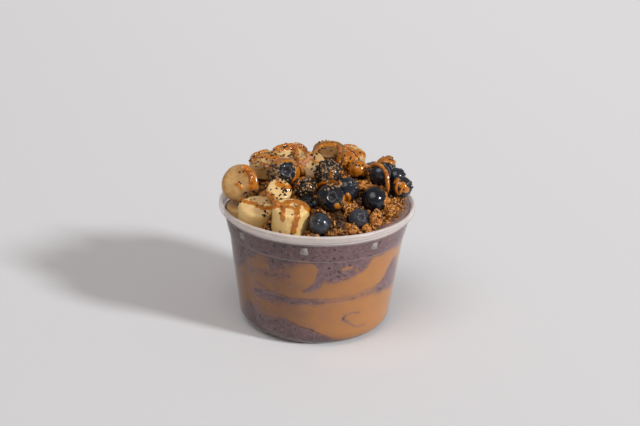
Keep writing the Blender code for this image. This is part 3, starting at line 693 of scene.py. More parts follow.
def cup_profile():
    """Cup's section from the middle of its floor up the inside and down the outside."""
    lean = math.degrees(math.atan(WALL_SLOPE))
    step = WALL_FOOT_RADIUS + WALL_SLOPE * STEP_HEIGHT
    corner = (CORNER_CENTRE, CORNER_RADIUS)
    floor = FOOT_RECESS + WALL
    inner_foot = FOOT_INNER_RADIUS - 1 * MM
    points = [(0, floor), (inner_foot - 0.6 * MM, floor), (inner_foot, floor - 0.15 * MM),
              (inner_foot + 1.2 * MM, WALL + 0.15 * MM), (inner_foot + 2.0 * MM, WALL)]
    points += arc(corner, CORNER_RADIUS - WALL, -90, -lean, 14)
    points += [(step - WALL - 0.1 * MM, STEP_HEIGHT - 0.6 * MM), (step - WALL, STEP_HEIGHT),
               (step + STEP_OUT - WALL, STEP_HEIGHT + STEP_RISE + 0.1 * MM),
               (step + STEP_OUT - WALL + 0.1 * MM, STEP_HEIGHT + 1 * MM),
               (BAND_TOP_RADIUS - WALL - 0.05 * MM, BAND_TOP - 0.4 * MM),
               (BAND_TOP_RADIUS - WALL + 0.1 * MM, BAND_TOP),
               (NECK_RADIUS - WALL, NECK_HEIGHT + 0.2 * MM),
               (LIP_INNER_RADIUS - 0.4 * MM, CUP_HEIGHT - 1.5 * MM)]
    points += arc((LIP_MIDDLE_RADIUS, CUP_HEIGHT - 1.25 * MM), 1.25 * MM, 172, 0, 10)
    points += [(LIP_RADIUS, CUP_HEIGHT - 1.6 * MM), (LIP_RADIUS - 0.1 * MM, SKIRT_FOOT + 0.25 * MM)]
    points += arc((LIP_RADIUS - 0.45 * MM, SKIRT_FOOT + 0.3 * MM), 0.3 * MM, -10, -170, 4)
    points += [(LIP_RADIUS - 0.9 * MM, CUP_HEIGHT - 1.6 * MM),
               (LIP_RADIUS - 1.3 * MM, CUP_HEIGHT - 1.15 * MM),
               (LIP_INNER_RADIUS + 0.8 * MM, CUP_HEIGHT - 1.3 * MM),
               (NECK_RADIUS + 0.05 * MM, NECK_HEIGHT + 0.4 * MM), (NECK_RADIUS, NECK_HEIGHT),
               (BAND_TOP_RADIUS + 0.05 * MM, BAND_TOP), (BAND_TOP_RADIUS, BAND_TOP - 0.3 * MM),
               (step + STEP_OUT + 0.1 * MM, STEP_HEIGHT + STEP_RISE + 0.5 * MM),
               (step + STEP_OUT, STEP_HEIGHT + STEP_RISE), (step, STEP_HEIGHT),
               (step - 0.06 * MM, STEP_HEIGHT - 0.4 * MM)]
    points += arc(corner, CORNER_RADIUS, -lean, -90, 16)
    points += [(FOOT_INNER_RADIUS + 0.5 * MM, 0), (FOOT_INNER_RADIUS, 0.15 * MM),
               (FOOT_INNER_RADIUS - 0.8 * MM, FOOT_RECESS - 0.1 * MM),
               (FOOT_INNER_RADIUS - 1.4 * MM, FOOT_RECESS), (0, FOOT_RECESS)]
    return points


PLASTIC_IOR = 1.47


def see_through(paint, share, body, tone):
    """Mixes a shader with nothing, tinted by a grey tone, as the share goes from 0 to 1."""
    clear = paint.node('ShaderNodeBsdfTransparent', None, {"Color": (tone, tone, tone, 1)})
    return paint.finish(paint.node('ShaderNodeMixShader', None, {
        0: share, 1: body.outputs[0], 2: clear.outputs[0]}))


def plastic_material(name, looks, clearness, roughness):
    """Clear plastic with faint scuffs and waves."""
    paint = Paint(name)
    scuffs = paint.noise(9 * MM, 4).step(0.35, 0.75)
    glass = paint.shader(
        looks.tint, roughness + 0.05 * scuffs, paint.bump(paint.noise(14 * MM, 2), 0.25 * MM, 0.5),
        IOR=PLASTIC_IOR, Transmission_Weight=clearness)
    # Lamps shine straight through it
    path = paint.node('ShaderNodeLightPath')
    return see_through(paint, path.outputs["Is Shadow Ray"], glass, 0.95)


def cloudy_material(name, looks, clearness, roughness):
    """Milky plastic that shows most of what lies behind it."""
    paint = Paint(name)
    haze = paint.noise(5 * MM, 3).step(0.3, 0.75)
    base = paint.mix(haze, looks.cloud, times(looks.cloud, 0.9))
    body = paint.shader(base, roughness, IOR=PLASTIC_IOR, Specular_IOR_Level=0.6)
    # Painted highlights: the lip's top edge lets less through, and so does everything below the
    # skirt's foot; on the rolled lip this paints its bright edge lines
    height = paint.axis("Z")
    edges = height.step(CUP_HEIGHT - 1.1 * MM, CUP_HEIGHT - 0.5 * MM) + (
        1 - height.step(SKIRT_FOOT + 0.2 * MM, SKIRT_FOOT + 0.8 * MM))
    return see_through(paint, clearness + 0.12 - 0.3 * edges, body, 0.97)


class ACAI_OT_cup(bpy.types.Operator):
    """Clear cup with its rolled lip and stacking lugs"""

    bl_idname = "acai.cup"
    bl_label = "Cup"

    def execute(self, context):
        looks = context.scene.acai_cup
        wall = plastic_material("clear plastic", looks, looks.clearness, looks.roughness)
        lip = cloudy_material("cloudy plastic", looks, looks.lip_clearness, 0.28)
        # Milky plastic on the ledges and the base's outer ring, painting the light lines along them
        # as painted highlights
        edge = cloudy_material("plastic edge", looks, 0.88, 0.3)
        frosted = cloudy_material("frosted plastic", looks, 0.8, 0.3)
        mesh = mesh_from("cup_clear", *lathe(cup_profile(), CUP_STEPS))
        add_piece("cup_clear", mesh, "clear_plastic", (wall, lip, edge), "cup")
        for face in mesh.polygons:
            face.material_index = self.material_at(face)
        add_piece("stacking_lugs", self.lugs(), "clear_plastic", (frosted,))
        return {'FINISHED'}

    def material_at(self, face):
        """0 on the clear wall, 1 on the milky lip, 2 on the ledges and the base's outer ring, whose
        milky plastic is a painted highlight.
        """
        height = face.center.z
        outward = face.normal.x * face.center.x + face.normal.y * face.center.y > 0
        ledges = ((STEP_HEIGHT - 0.3 * MM, STEP_HEIGHT + STEP_RISE + 0.2 * MM),
                  (BAND_TOP - 0.2 * MM, NECK_HEIGHT + 0.2 * MM))
        if height > NECK_HEIGHT + 1 * MM:
            return 1
        if height < BASE_RING and math.hypot(face.center.x, face.center.y) > CORNER_CENTRE:
            return 2
        return 2 if outward and any(low < height < high for low, high in ledges) else 0

    def lugs(self):
        """Mesh of the rounded blocks inside the upper band that part stacked cups."""
        bm = bmesh.new()
        middle = (LUG_FOOT + LUG_TOP) / 2
        inner = wall_inside(middle) - LUG_DEPTH
        outer = wall_inside(middle) + LUG_ROOT
        for i in range(LUGS):
            angle = LUG_FIRST + i * 360 / LUGS
            made = bmesh.ops.create_cube(bm, size=1)["verts"]
            bmesh.ops.scale(bm, vec=(LUG_WIDTH, outer - inner, LUG_TOP - LUG_FOOT), verts=made)
            place = Matrix.Translation(on_cup((inner + outer) / 2, angle, middle))
            turn = Matrix.Rotation(math.radians(angle), 4, 'Z')
            bmesh.ops.transform(bm, verts=made, matrix=place @ turn)
        bmesh.ops.bevel(bm, geom=bm.edges[:], offset=LUG_BEVEL, segments=3, affect='EDGES')
        mesh = mesh_of(bm, "stacking_lugs")
        mesh.shade_smooth()
        return mesh


def fill_material(name, looks, wet):
    """Acai and peanut butter, shared out by how much butter shows at each point."""
    paint = Paint(name)
    share = paint.attribute("butter")
    blur = (paint.noise(3.5 * MM, 5, 0.7) - 0.5) * 1.2
    butter = (share + blur * (share * (1 - share)) * 2.4).step(0.0, 1.0)
    patches = paint.noise(6 * MM, 4, 0.65).step(0.38, 0.66)
    frost = paint.noise(1.4 * MM, 3, 0.7).step(0.46, 0.66)
    specks = 1 - paint.cells(2.0 * MM).step(0.14, 0.38)
    dark_spots = 1 - paint.cells(4.6 * MM).step(0.12, 0.26)
    acai = paint.mix(patches * 0.6, looks.acai, times(looks.acai, 1.7))
    acai = paint.mix(specks * 0.5, acai, looks.acai_dark)
    acai = paint.mix(frost * 0.55, acai, looks.acai_pale)
    acai = paint.mix(dark_spots * 0.85, acai, looks.acai_dark)
    tone = paint.noise(11 * MM, 3, 0.5).step(0.3, 0.75)
    grit = paint.noise(0.8 * MM, 3, 0.6).step(0.4, 0.8)
    nut = paint.mix(tone * 0.5, looks.butter, times(looks.butter, 0.85))
    nut = paint.mix(grit * 0.16, nut, times(looks.butter, 1.4))
    left = (0 - paint.axis("X")).step(-38 * MM, 34 * MM)
    # Painted shade: the butter grows darker towards the left side, away from the key lamp
    nut = paint.mix(left * 0.6, nut, times(looks.butter, 0.7, 0.64, 0.52))
    clouds = paint.noise(7 * MM, 4, 0.7).step(0.36, 0.7)
    layers = paint.noise(9 * MM, 5, 0.7, paint.stretched((0.6, 0.6, 3.2))).step(0.42, 0.72)
    nut = paint.mix((left * clouds * 0.62 + layers * (0.12 + left * 0.26)).at_most(1), nut, acai)
    base = paint.mix(butter, acai, nut)
    height = paint.noise(1.3 * MM, 4, 0.6) * (1 - butter * 0.6)
    if not wet:
        return paint.finish(paint.shader(
            base, 0.6, paint.bump(height, 0.2 * MM, 0.4), Specular_IOR_Level=0.0))
    base = paint.mix(0.45 + 0.4 * frost, base, (0.42, 0.27, 0.22))
    return paint.finish(paint.shader(
        base, 0.3 + 0.2 * frost, paint.bump(height, 0.5 * MM, 0.9), Specular_IOR_Level=0.5,
        Subsurface_Weight=0.1, Subsurface_Radius=(0.6, 0.25, 0.2), Subsurface_Scale=1.2 * MM))


# How far the food reaches into the cup's wall, so that no gap shows
ACAI_OUTSET = 0.1 * MM
BUTTER_OUTSET = 0.16 * MM
FILL_FOOT = 1.1 * MM
ACAI_ROWS = 96
ACAI_TOP_RINGS = 30
ACAI_STEPS = 288
# The swirl ends below this
SWIRL_HIGHEST = 60 * MM


def fill_profile(rows, tops):
    """The acai's side from the cup's floor up into the wall, and in over its top."""
    floor = FOOT_RECESS + 0.3 * MM
    points = [(0, floor), (20 * MM, floor), (FOOT_INNER_RADIUS - 1 * MM, floor)]
    for i in range(rows + 1):
        height = FILL_FOOT + (BAND_TOP - FILL_FOOT) * i / rows
        points.append((wall_inside(height) + ACAI_OUTSET, height))
    return points + [(points[-1][0] * (1 - (i + 1) / tops), BAND_TOP) for i in range(tops)]


def acai_top(x, y):
    """Point of the acai's uneven top over a point of its flat one."""
    edge = wall_inside(BAND_TOP)
    reach = math.hypot(x, y)
    level = acai_height(x, y)
    bumps = noise.fractal(Vector((x, y, 0)) / (5 * MM), 1.0, 2.0, 3)
    inward = 1 - smooth(reach, edge - 2 * MM, edge)
    if reach > edge - 1.5 * MM:
        factor = (wall_inside(level) + ACAI_OUTSET) / (edge + ACAI_OUTSET)
        x, y = x * factor, y * factor
    return x, y, level + bumps * 0.7 * MM * (0.35 + 0.65 * inward)


class ACAI_OT_acai(bpy.types.Operator):
    """Acai that fills the cup, with the swirl's soft edges"""

    bl_idname = "acai.acai"
    bl_label = "Acai"

    def execute(self, context):
        verts, faces = lathe(fill_profile(ACAI_ROWS, ACAI_TOP_RINGS), ACAI_STEPS)
        shaped = [acai_top(x, y) if z > BAND_TOP - 0.3 * MM else (x, y, z) for x, y, z in verts]
        mesh = mesh_from("acai_blend", shaped, faces)
        looks = context.scene.acai_fill
        side = fill_material("acai with swirl", looks, False)
        top = fill_material("acai top", looks, True)
        add_piece("acai_blend", mesh, "acai", (side, top), "acai")
        for face in mesh.polygons:
            if face.center.z > BAND_TOP and abs(face.normal.z) > 0.5:
                face.material_index = 1
        set_butter(mesh)
        return {'FINISHED'}


def set_butter(mesh):
    """Works out how much peanut butter shows at each vertex by the wall."""
    spots = [vert.co for vert in mesh.vertices]
    set_values(mesh, "butter", [
        0.0 if z > SWIRL_HIGHEST else butter_share(math.degrees(math.atan2(x, -y)), z / MM)
        for x, y, z in spots])


def loft(rings, closed):
    """Vertices and faces through rings of points, round in a circle or with both ends capped."""
    count = len(rings[0])
    verts = [tuple(point) for ring in rings for point in ring]
    faces = []
    spans = len(rings) if closed else len(rings) - 1
    for k in range(spans):
        a = k * count
        b = (k + 1) % len(rings) * count
        for i in range(count):
            j = (i + 1) % count
            faces.append((a + i, a + j, b + j, b + i))
    if not closed:
        faces.append(tuple(range(count)))
        faces.append(tuple(reversed(range(len(verts) - count, len(verts)))))
    return verts, faces


def repaired(name, verts, faces):
    """Mesh with its faces pointing out."""
    mesh = mesh_from(name, verts, faces)
    bm = bmesh.new()
    bm.from_mesh(mesh)
    bmesh.ops.recalc_face_normals(bm, faces=bm.faces)
    bm.to_mesh(mesh)
    bm.free()
    return mesh


def cut_away(piece, cutters):
    """Cuts meshes out of a piece."""
    group = bpy.data.collections.new("cutters")
    bpy.context.scene.collection.children.link(group)
    for mesh in cutters:
        group.objects.link(bpy.data.objects.new("cutter", mesh))
    boolean = piece.modifiers.new("Cut", 'BOOLEAN')
    boolean.operation = 'DIFFERENCE'
    boolean.operand_type = 'COLLECTION'
    boolean.collection = group
    boolean.solver = 'MANIFOLD'
    mesh = evaluated(piece)
    piece.modifiers.clear()
    piece.data = mesh
    for cutter in list(group.objects):
        bpy.data.objects.remove(cutter, do_unlink=True)
    bpy.data.collections.remove(group)


def wedge(top, foot, columns):
    """Closed wedge between two outlines on the wall, through the swirl's depth."""
    rings = []
    for i in range(columns + 1):
        angle = top.start + (top.end - top.start) * i / columns
        high = max(top(angle), foot(angle) + 0.3) * MM
        low = foot(angle) * MM
        outer = wall_inside(high) + 2 * MM
        inner = wall_inside(low) - WEDGE_DEPTH
        rings.append([on_cup(outer, angle, low), on_cup(outer, angle, high),
                      on_cup(inner, angle, high), on_cup(inner, angle, low)])
    return repaired("wedge", *loft(rings, False))


class ACAI_OT_butter(bpy.types.Operator):
    """Peanut butter swirl against the wall"""

    bl_idname = "acai.butter"
    bl_label = "Peanut butter"

    def execute(self, context):
        rings = [self.ring(angle) for angle in range(360)]
        mesh = repaired("peanut_butter_swirl", *loft(rings, True))
        looks = context.scene.acai_fill
        piece = add_piece("peanut_butter_swirl", mesh, "peanut_butter",
                          (fill_material("peanut butter swirl", looks, False),), "peanut_butter")
        cut_away(piece, [wedge(streak_top, streak_foot, 150), wedge(tongue_top, tongue_foot, 30)])
        piece.data.shade_smooth()
        set_butter(piece.data)
        return {'FINISHED'}

    def ring(self, angle):
        """Section of the swirl at an angle: up the wall, and down inside the cup."""
        outline_angle = angle if angle < SWIRL_SEAM else angle - 360
        foot = swirl_foot(outline_angle) * MM
        top = swirl_top(outline_angle) * MM
        depth = (SWIRL_DEPTH + SWIRL_DEPTH_WAVE * math.sin(math.radians(3 * angle))) * MM
        ring = []
        for k in range(SWIRL_ROWS + 1):
            z = foot + (top - foot) * k / SWIRL_ROWS
            ring.append(on_cup(wall_inside(z) + BUTTER_OUTSET, angle, z))
        for part, share in ((0.98, 0.7), (0.7, 1.0), (0.3, 1.0), (0.02, 0.7)):
            z = foot + (top - foot) * part
            ring.append(on_cup(wall_inside(z) - depth * share, angle, z))
        return ring


def banana_material(looks, caramel):
    """Cut banana: creamy face with a ring of pale fibres, and a smooth honey-coloured side."""
    paint = Paint("banana flesh")
    x = paint.axis("X")
    y = paint.axis("Y")
    reach = (x * x + y * y).math('SQRT')
    radius = paint.attribute("reach")
    side = radius.step(0.93, 1.0)
    angle = y.math('ARCTAN2', y, x)
    rays = (angle * 3).math('COSINE')
    core = 1 - (reach - rays * (0.7 * MM)).step(1.4 * MM, 4.4 * MM)
    fibres = paint.noise(0.9 * MM, 4, 0.6)
    cloud = paint.noise(6 * MM, 3, 0.6).step(0.3, 0.75)
    flesh = paint.mix(cloud * 0.45, looks.flesh, times(looks.flesh, 0.92, 0.82, 0.66))
    flesh = paint.mix(core * 0.35, flesh, (0.60, 0.34, 0.11))
    flesh = paint.mix(fibres.step(0.45, 0.8) * 0.25, flesh, (0.94, 0.78, 0.48))
    streaks = paint.noise(1.4 * MM, 3, 0.6, paint.stretched((1, 1, 0.18)))
    outside = paint.mix(streaks.step(0.3, 0.75) * 0.5, looks.rim, (0.92, 0.70, 0.33))
    base = paint.mix(side, flesh, outside)
    # Browning by ripeness, also used as painted shade: the same value darkens the slices that lie
    # in shade, and at its fullest darkens a slice all over
    ripeness_and_shade = paint.attribute("ripeness_and_shade")
    base = paint.mix(ripeness_and_shade * (0.75 + 0.25 * cloud), base, (0.40, 0.185, 0.038))
    bruise = (core * 0.8 + cloud * fibres * 0.9).at_most(1) * (1 - side)
    base = paint.mix(ripeness_and_shade.step(0.3, 1.0) * bruise * 0.8, base, (0.15, 0.06, 0.015))
    base = paint.mix(ripeness_and_shade.step(0.96, 1.0) * 0.7, base, (0.15, 0.055, 0.008))
    base, glaze = paint.caramel(base, paint.attribute("glaze"), caramel)
    dew = paint.noise(3 * MM, 2).step(0.35, 0.7)
    height = fibres * 0.6 + streaks * side * 0.6 + glaze * 0.5
    return paint.finish(paint.shader(
        base, 0.40 + 0.15 * dew - 0.26 * glaze, paint.bump(height, 0.3 * MM, 0.6),
        Subsurface_Weight=0.2, Subsurface_Radius=(1.0, 0.6, 0.3), Subsurface_Scale=2.0 * MM,
        Coat_Roughness=0.06, Coat_Weight=0.1 + 0.4 * glaze))


# Height of a slice's domed faces
SLICE_DOME = 0.5 * MM


def slice_mesh(name, piece, seed):
    """Chunk of banana with an uneven three-sided outline, soft rims and slightly domed faces."""
    draw = random.Random(seed)
    half = piece.thickness / 2
    rim = min(1.9 * MM, half * 0.45)
    flat = piece.radius - rim
    across = 22
    down = 24
    section = [(flat * i / across, half) for i in range(across)]
    section += arc((flat, half - rim), rim, 90, 0, 6)
    section += [(piece.radius, (half - rim) * (1 - 2 * i / down)) for i in range(1, down)]
    section += arc((flat, rim - half), rim, 0, -90, 6)
    section += [(flat * (1 - i / across), -half) for i in range(1, across + 1)]
    verts, faces = lathe(section, 120)
    phase = draw.uniform(0, math.tau)
    shift = Vector((draw.uniform(-50, 50), draw.uniform(-50, 50), seed * 7.0))
    lean = draw.uniform(-0.03, 0.03)
    shaped = []
    reach_values = []
    for x, y, z in verts:
        reach = math.hypot(x, y)
        angle = math.atan2(y, x)
        edge = smooth(reach, 0.3 * piece.radius, piece.radius)
        squeeze = 1 - edge * (0.03 - 0.025 * math.cos(3 * angle + phase))
        spot = Vector((x, y, z))
        rough = noise.fractal(spot / (6 * MM) + shift, 1.0, 2.0, 3)
        fine = noise.noise(spot / (1.6 * MM) + shift)
        on_face = smooth(abs(z), 0.6 * half, half)
        dome = SLICE_DOME * (1 - (reach / piece.radius) ** 2) * math.copysign(1, z) * on_face
        inward = 0.22 * MM * abs(rough) * edge + 0.06 * MM * fine
        shrink = squeeze * (1 - inward / piece.radius) * (1 - 0.02 * (z / half))
        height = z - math.copysign(SLICE_DOME, z) * on_face + dome
        height += 0.25 * MM * rough * on_face + lean * x * (1 if z > 0 else 0)
        shaped.append((x * shrink, y * shrink, height))
        reach_values.append(reach / piece.radius)
    mesh = mesh_from(name, shaped, faces)
    set_values(mesh, "reach", reach_values)
    # Ripeness and painted shade, for the material to read
    set_values(mesh, "ripeness_and_shade", [piece.ripeness_and_shade] * len(mesh.vertices))
    return mesh


# Caramel glaze as the picture shows it: pixels along each patch, and half its width in pixels
GLAZE = (
    (((246, 168), (250, 173), (253.5, 180), (252, 187)), 4.4), (((237, 184), (241, 188)), 2.0),
    (((240.5, 200.5), (248, 202.5), (256, 205), (264, 209), (271, 208), (279, 206)), 2.0),
    (((263, 191), (268, 194), (273, 199), (277, 204)), 3.2),
    (((280, 206), (286, 202.5), (295, 201.5), (303, 204), (309, 210)), 2.2),
    (((284, 206), (291, 208), (297, 210)), 1.6),
    (((283, 207), (283, 219)), 2.6), (((298, 208), (297, 217), (294.5, 224), (293, 231)), 3.0),
    (((253, 161), (257, 157), (264, 156), (271, 157), (276, 163)), 2.8),
    (((262, 164), (271, 168)), 1.8), (((273, 152), (277, 148), (284, 146), (290, 148)), 1.8),
    (((291, 147), (296, 151), (292, 157)), 2.6), (((276, 157), (283, 160), (292, 160)), 2.2),
    (((301, 148), (307, 151), (309, 158), (304, 163)), 2.4),
    (((297, 160), (305, 165)), 2.6),
    (((313.5, 156), (316, 149), (323, 145.5), (333, 144.5), (340, 148)), 1.6),
    (((345, 153), (351, 151), (355, 156)), 3.0), (((312, 158), (316, 161)), 2.2),
    (((397, 182), (402, 185), (405, 190)), 3.2), (((376, 161), (386, 158), (395, 162)), 3.4),
    (((342, 161), (345, 168), (344, 176)), 2.6), (((337, 206), (342, 207), (345, 198)), 2.4),
    (((318, 186), (322, 183), (332, 181), (340, 184)), 1.8),
    (((385, 189), (387.5, 196), (385, 204)), 1.2),
    (((296, 161), (300, 168), (300, 177), (295, 184)), 4.4),
    (((278, 184), (286, 188), (294, 186)), 2.6),
    (((276, 165), (282, 160), (290, 160)), 2.0), (((276, 173), (277, 181)), 1.6),
    (((331, 171), (332, 182)), 1.8), (((324, 180), (330, 184), (338, 182)), 1.8),
    (((322, 165), (323, 172)), 1.2),
    (((309, 184), (312, 189)), 2.0),
)
GLAZE_THICKNESS = 0.5 * MM
GLAZE_EDGE = 1.4
PLACE_TOLERANCE = 4 * MM


def glaze_share(point, shift):
    """How much caramel covers a point of a topping."""
    spot = in_picture(point)
    edge = 1.3 * noise.noise(point / (2.2 * MM) + shift)
    best = 0.0
    for stroke, reach in GLAZE:
        if abs(spot.x - stroke[0][0]) + abs(spot.y - stroke[0][1]) > 60:
            continue
        away = stroke_distance(stroke, spot) + edge
        best = max(best, 1 - smooth(away, reach - GLAZE_EDGE, reach + GLAZE_EDGE))
    # Behind, where the picture shows nothing, patches at random
    behind = smooth(point.y, 24 * MM, 40 * MM)
    patch = noise.noise(point / (7 * MM) + Vector((3, 8, 1)))
    hidden = smooth(patch + 0.25 * noise.noise(point / (2.5 * MM)), 0.05, 0.16) * behind
    return max(best, hidden)


class ACAI_OT_bananas(bpy.types.Operator):
    """Banana slices"""

    bl_idname = "acai.bananas"
    bl_label = "Banana slices"

    def execute(self, context):
        material = banana_material(context.scene.acai_fruit, context.scene.acai_toppings.drizzle)
        names = ("banana_%02d", "banana_slice_%02d")
        add_toppings(SLICES, slice_mesh, 3, "banana", material, names, 0)
        return {'FINISHED'}


def add_toppings(items, build, seed, slot, material, names, shift):
    """Puts slices or berries where their solids are, and stops if one is elsewhere.

    The names are those of the pieces and the solids. The shift sets their caramel's edges."""
    for index, item in enumerate(items):
        name, node = (pattern % (index + 1) for pattern in names)
        low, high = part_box(node)
        if ((low + high) / 2 - item.place).length > PLACE_TOLERANCE:
            raise RuntimeError(node + " is not at its solid's place")
        mesh = build(name, item, index + seed)
        piece = add_piece(name, mesh, slot, (material,), node, item.matrix, index + shift)
        TOPPINGS.append(piece)


def add_glaze(piece, index):
    """Raises the caramel on a topping and stores where it lies."""
    mesh = piece.data
    shift = Vector((index * 5.3, 0, 0))
    normals = [v.normal.copy() for v in mesh.vertices]
    shares = [glaze_share(piece.matrix_world @ v.co, shift) for v in mesh.vertices]
    for vert, normal, share in zip(mesh.vertices, normals, shares):
        room = (TOP - (piece.matrix_world @ vert.co).z) / MM
        vert.co += normal * share * GLAZE_THICKNESS * min(1.0, max(0.0, room))
    set_values(mesh, "glaze", shares)


# What the seeds and the drizzle land on
TOPPINGS = []


def berry_material(looks, toppings):
    """Blueberry skin with waxy bloom, and a coat of caramel where it was dipped."""
    paint = Paint("blueberry")
    bloom = paint.attribute("bloom")
    coat = paint.attribute("coat")
    crown = paint.attribute("crown")
    blotch = paint.noise(3.2 * MM, 4, 0.6).step(0.32, 0.68)
    rubbed = paint.noise(1.2 * MM, 3, 0.6).step(0.35, 0.7)
    dust = bloom * (0.35 + 0.65 * blotch) * (0.6 + 0.4 * rubbed)
    skin = paint.mix(dust, looks.skin, looks.bloom)
    skin = paint.mix(crown * 0.45, skin, (0.07, 0.06, 0.06))
    base, syrup = paint.caramel(skin, coat + paint.attribute("glaze"), toppings.drizzle)
    height = paint.noise(1.1 * MM, 4) + syrup * 1.5
    return paint.finish(paint.shader(
        base, 0.13 + 0.36 * dust - 0.03 * syrup, paint.bump(height, 0.2 * MM, 0.5),
        Specular_IOR_Level=0.5, Coat_Roughness=0.06, Coat_Weight=0.2 + 0.35 * syrup))


# Berries' caramel edges follow the slices' in the noise
BERRY_SHIFT = 20


def berry_mesh(name, item, seed):
    """Slightly flattened fruit with a five-pointed crown round a pit."""
    draw = random.Random(seed)
    phase = draw.uniform(0, math.tau)
    columns = 56
    polar_steps = 40
    verts = []
    crowns = []
    coats = []
    up = item.matrix.to_3x3().inverted() @ Vector((0, 0, 1))
    shift = Vector((seed * 3.7, seed * 1.3, 0))
    for k in range(polar_steps + 1):
        polar = math.pi * (k / polar_steps) ** 1.25
        for i in range(columns):
            turn = math.tau * i / columns
            star = 0.5 + 0.5 * math.cos(5 * turn + phase)
            rim = math.radians(19 + 4 * star)
            away = polar - rim
            ridge = math.exp(-(away / math.radians(5.5)) ** 2) * (0.05 + 0.08 * star)
            pit = 0.24 * (1 - smooth(polar, math.radians(4), math.radians(19)))
            direction = Vector((math.sin(polar) * math.cos(turn), math.sin(polar) * math.sin(turn),
                                math.cos(polar)))
            lumps = (0.018 * noise.noise(direction * 1.7 + shift)
                     + 0.006 * noise.noise(direction * 6 + shift))
            dimple = 0.05 * smooth(polar, math.radians(168), math.pi)
            length = item.radius * (0.975 + ridge - pit + lumps - dimple)
            above = direction.dot(up)
            drip = noise.noise(direction * 2.3 + shift * 2)
            reach = 1.0 - 1.9 * item.coat
            coat = smooth(above + 0.45 * drip, reach - 0.1, reach + 0.1) if item.coat else 0
            coat *= smooth(polar, math.radians(item.bare - 5), math.radians(item.bare + 5))
            length += coat * 0.35 * MM
            verts.append((direction.x * length, direction.y * length, direction.z * length * 0.95))
            crowns.append(1 - smooth(polar, math.radians(15), math.radians(26)))
            coats.append(coat)
    faces = []
    for k in range(polar_steps):
        for i in range(columns):
            j = (i + 1) % columns
            row, following = k * columns, (k + 1) * columns
            faces.append((row + i, following + i, following + j, row + j))
    mesh = mesh_from(name, verts, faces)
    bm = bmesh.new()
    bm.from_mesh(mesh)
    for label, values in (("crown", crowns), ("coat", coats), ("bloom", [item.bloom] * len(verts))):
        layer = bm.verts.layers.float.new(label)
        bm.verts.ensure_lookup_table()
        for vert, value in zip(bm.verts, values):
            vert[layer] = value
    bmesh.ops.remove_doubles(bm, verts=bm.verts, dist=0.002 * MM)
    bmesh.ops.recalc_face_normals(bm, faces=bm.faces)
    bm.to_mesh(mesh)
    bm.free()
    mesh.shade_smooth()
    return mesh


class ACAI_OT_blueberries(bpy.types.Operator):
    """Blueberries"""

    bl_idname = "acai.blueberries"
    bl_label = "Blueberries"

    def execute(self, context):
        material = berry_material(context.scene.acai_fruit, context.scene.acai_toppings)
        names = ("berry_%02d", "blueberry_%02d")
        add_toppings(BERRIES, berry_mesh, 1, "blueberry", material, names, BERRY_SHIFT)
        return {'FINISHED'}


def surfaces(pieces):
    """Search tree of the pieces' surfaces in world space."""
    verts = []
    faces = []
    for piece in pieces:
        start = len(verts)
        verts += [piece.matrix_world @ v.co for v in piece.data.vertices]
        faces += [[start + i for i in p.vertices] for p in piece.data.polygons]
    return BVHTree.FromPolygons(verts, faces)


def in_topping(point, margin):
    """Whether a point lies inside a topping or closer to one than a margin."""
    for item in SLICES:
        local = item.matrix.inverted() @ point
        if (math.hypot(local.x, local.y) < item.radius + margin
                and abs(local.z) < item.thickness / 2 + margin):
            return True
    for item in BERRIES:
        if (point - item.place).length < item.radius + margin:
            return True
    return False


def granola_material(name, looks, glaze, light=1.0):
    """Toasted grains, each with its own tone and paler edges, under a thin glaze; the darkest tone
    is painted shade.
    """
    paint = Paint(name)
    tone = paint.attribute("tone")
    flake = paint.noise(1.5 * MM, 4, 0.65)
    toast = paint.noise(5 * MM, 3, 0.6).step(0.35, 0.7)
    base = paint.mix(flake.step(0.40, 0.66), times(looks.granola, light), looks.granola_pale)
    # Random toasting, and painted shade where the tone is 1: on the core and on the crumbs in the
    # gaps
    burnt_and_shade = (tone * 0.85 + toast * 0.35).step(0.36, 0.95)
    base = paint.mix(burnt_and_shade * 0.94, base, times(looks.granola, 0.12))
    return paint.finish(paint.shader(
        base, 0.5 - 0.25 * glaze * toast, paint.bump(flake, 0.3 * MM, 0.8), Subsurface_Weight=0.08,
        Subsurface_Radius=(1.0, 0.5, 0.2), Subsurface_Scale=1 * MM))


class Scatter:
    """Small things gathered into one mesh."""

    def __init__(self):
        self.verts = []
        self.faces = []
        self.tones = []

    def add(self, form, matrix, tone):
        verts, faces = form
        start = len(self.verts)
        self.verts += [tuple(matrix @ Vector(v)) for v in verts]
        self.faces += [tuple(start + i for i in f) for f in faces]
        self.tones += [tone] * len(verts)

    def lay(self, name, material, slot="granola"):
        """Makes one piece of them."""
        mesh = mesh_from(name, self.verts, self.faces)
        set_values(mesh, "tone", self.tones)
        add_piece(name, mesh, slot, (material,))


def form_from(shape):
    """Ball whose vertices a function moves, as plain lists of vertices and faces."""
    bm = bmesh.new()
    bmesh.ops.create_icosphere(bm, subdivisions=2, radius=1)
    for vert in bm.verts:
        vert.co = shape(vert.co)
    bm.verts.ensure_lookup_table()
    form = [tuple(v.co) for v in bm.verts], [tuple(v.index for v in f.verts) for f in bm.faces]
    bm.free()
    return form


def ball_form(size, draw, jitter):
    """Uneven ball or flake."""
    shift = Vector((draw.uniform(0, 50), draw.uniform(0, 50), draw.uniform(0, 50)))
    return form_from(
        lambda spot: spot * (1 + jitter * noise.noise(spot * 1.6 + shift)) * Vector(size))


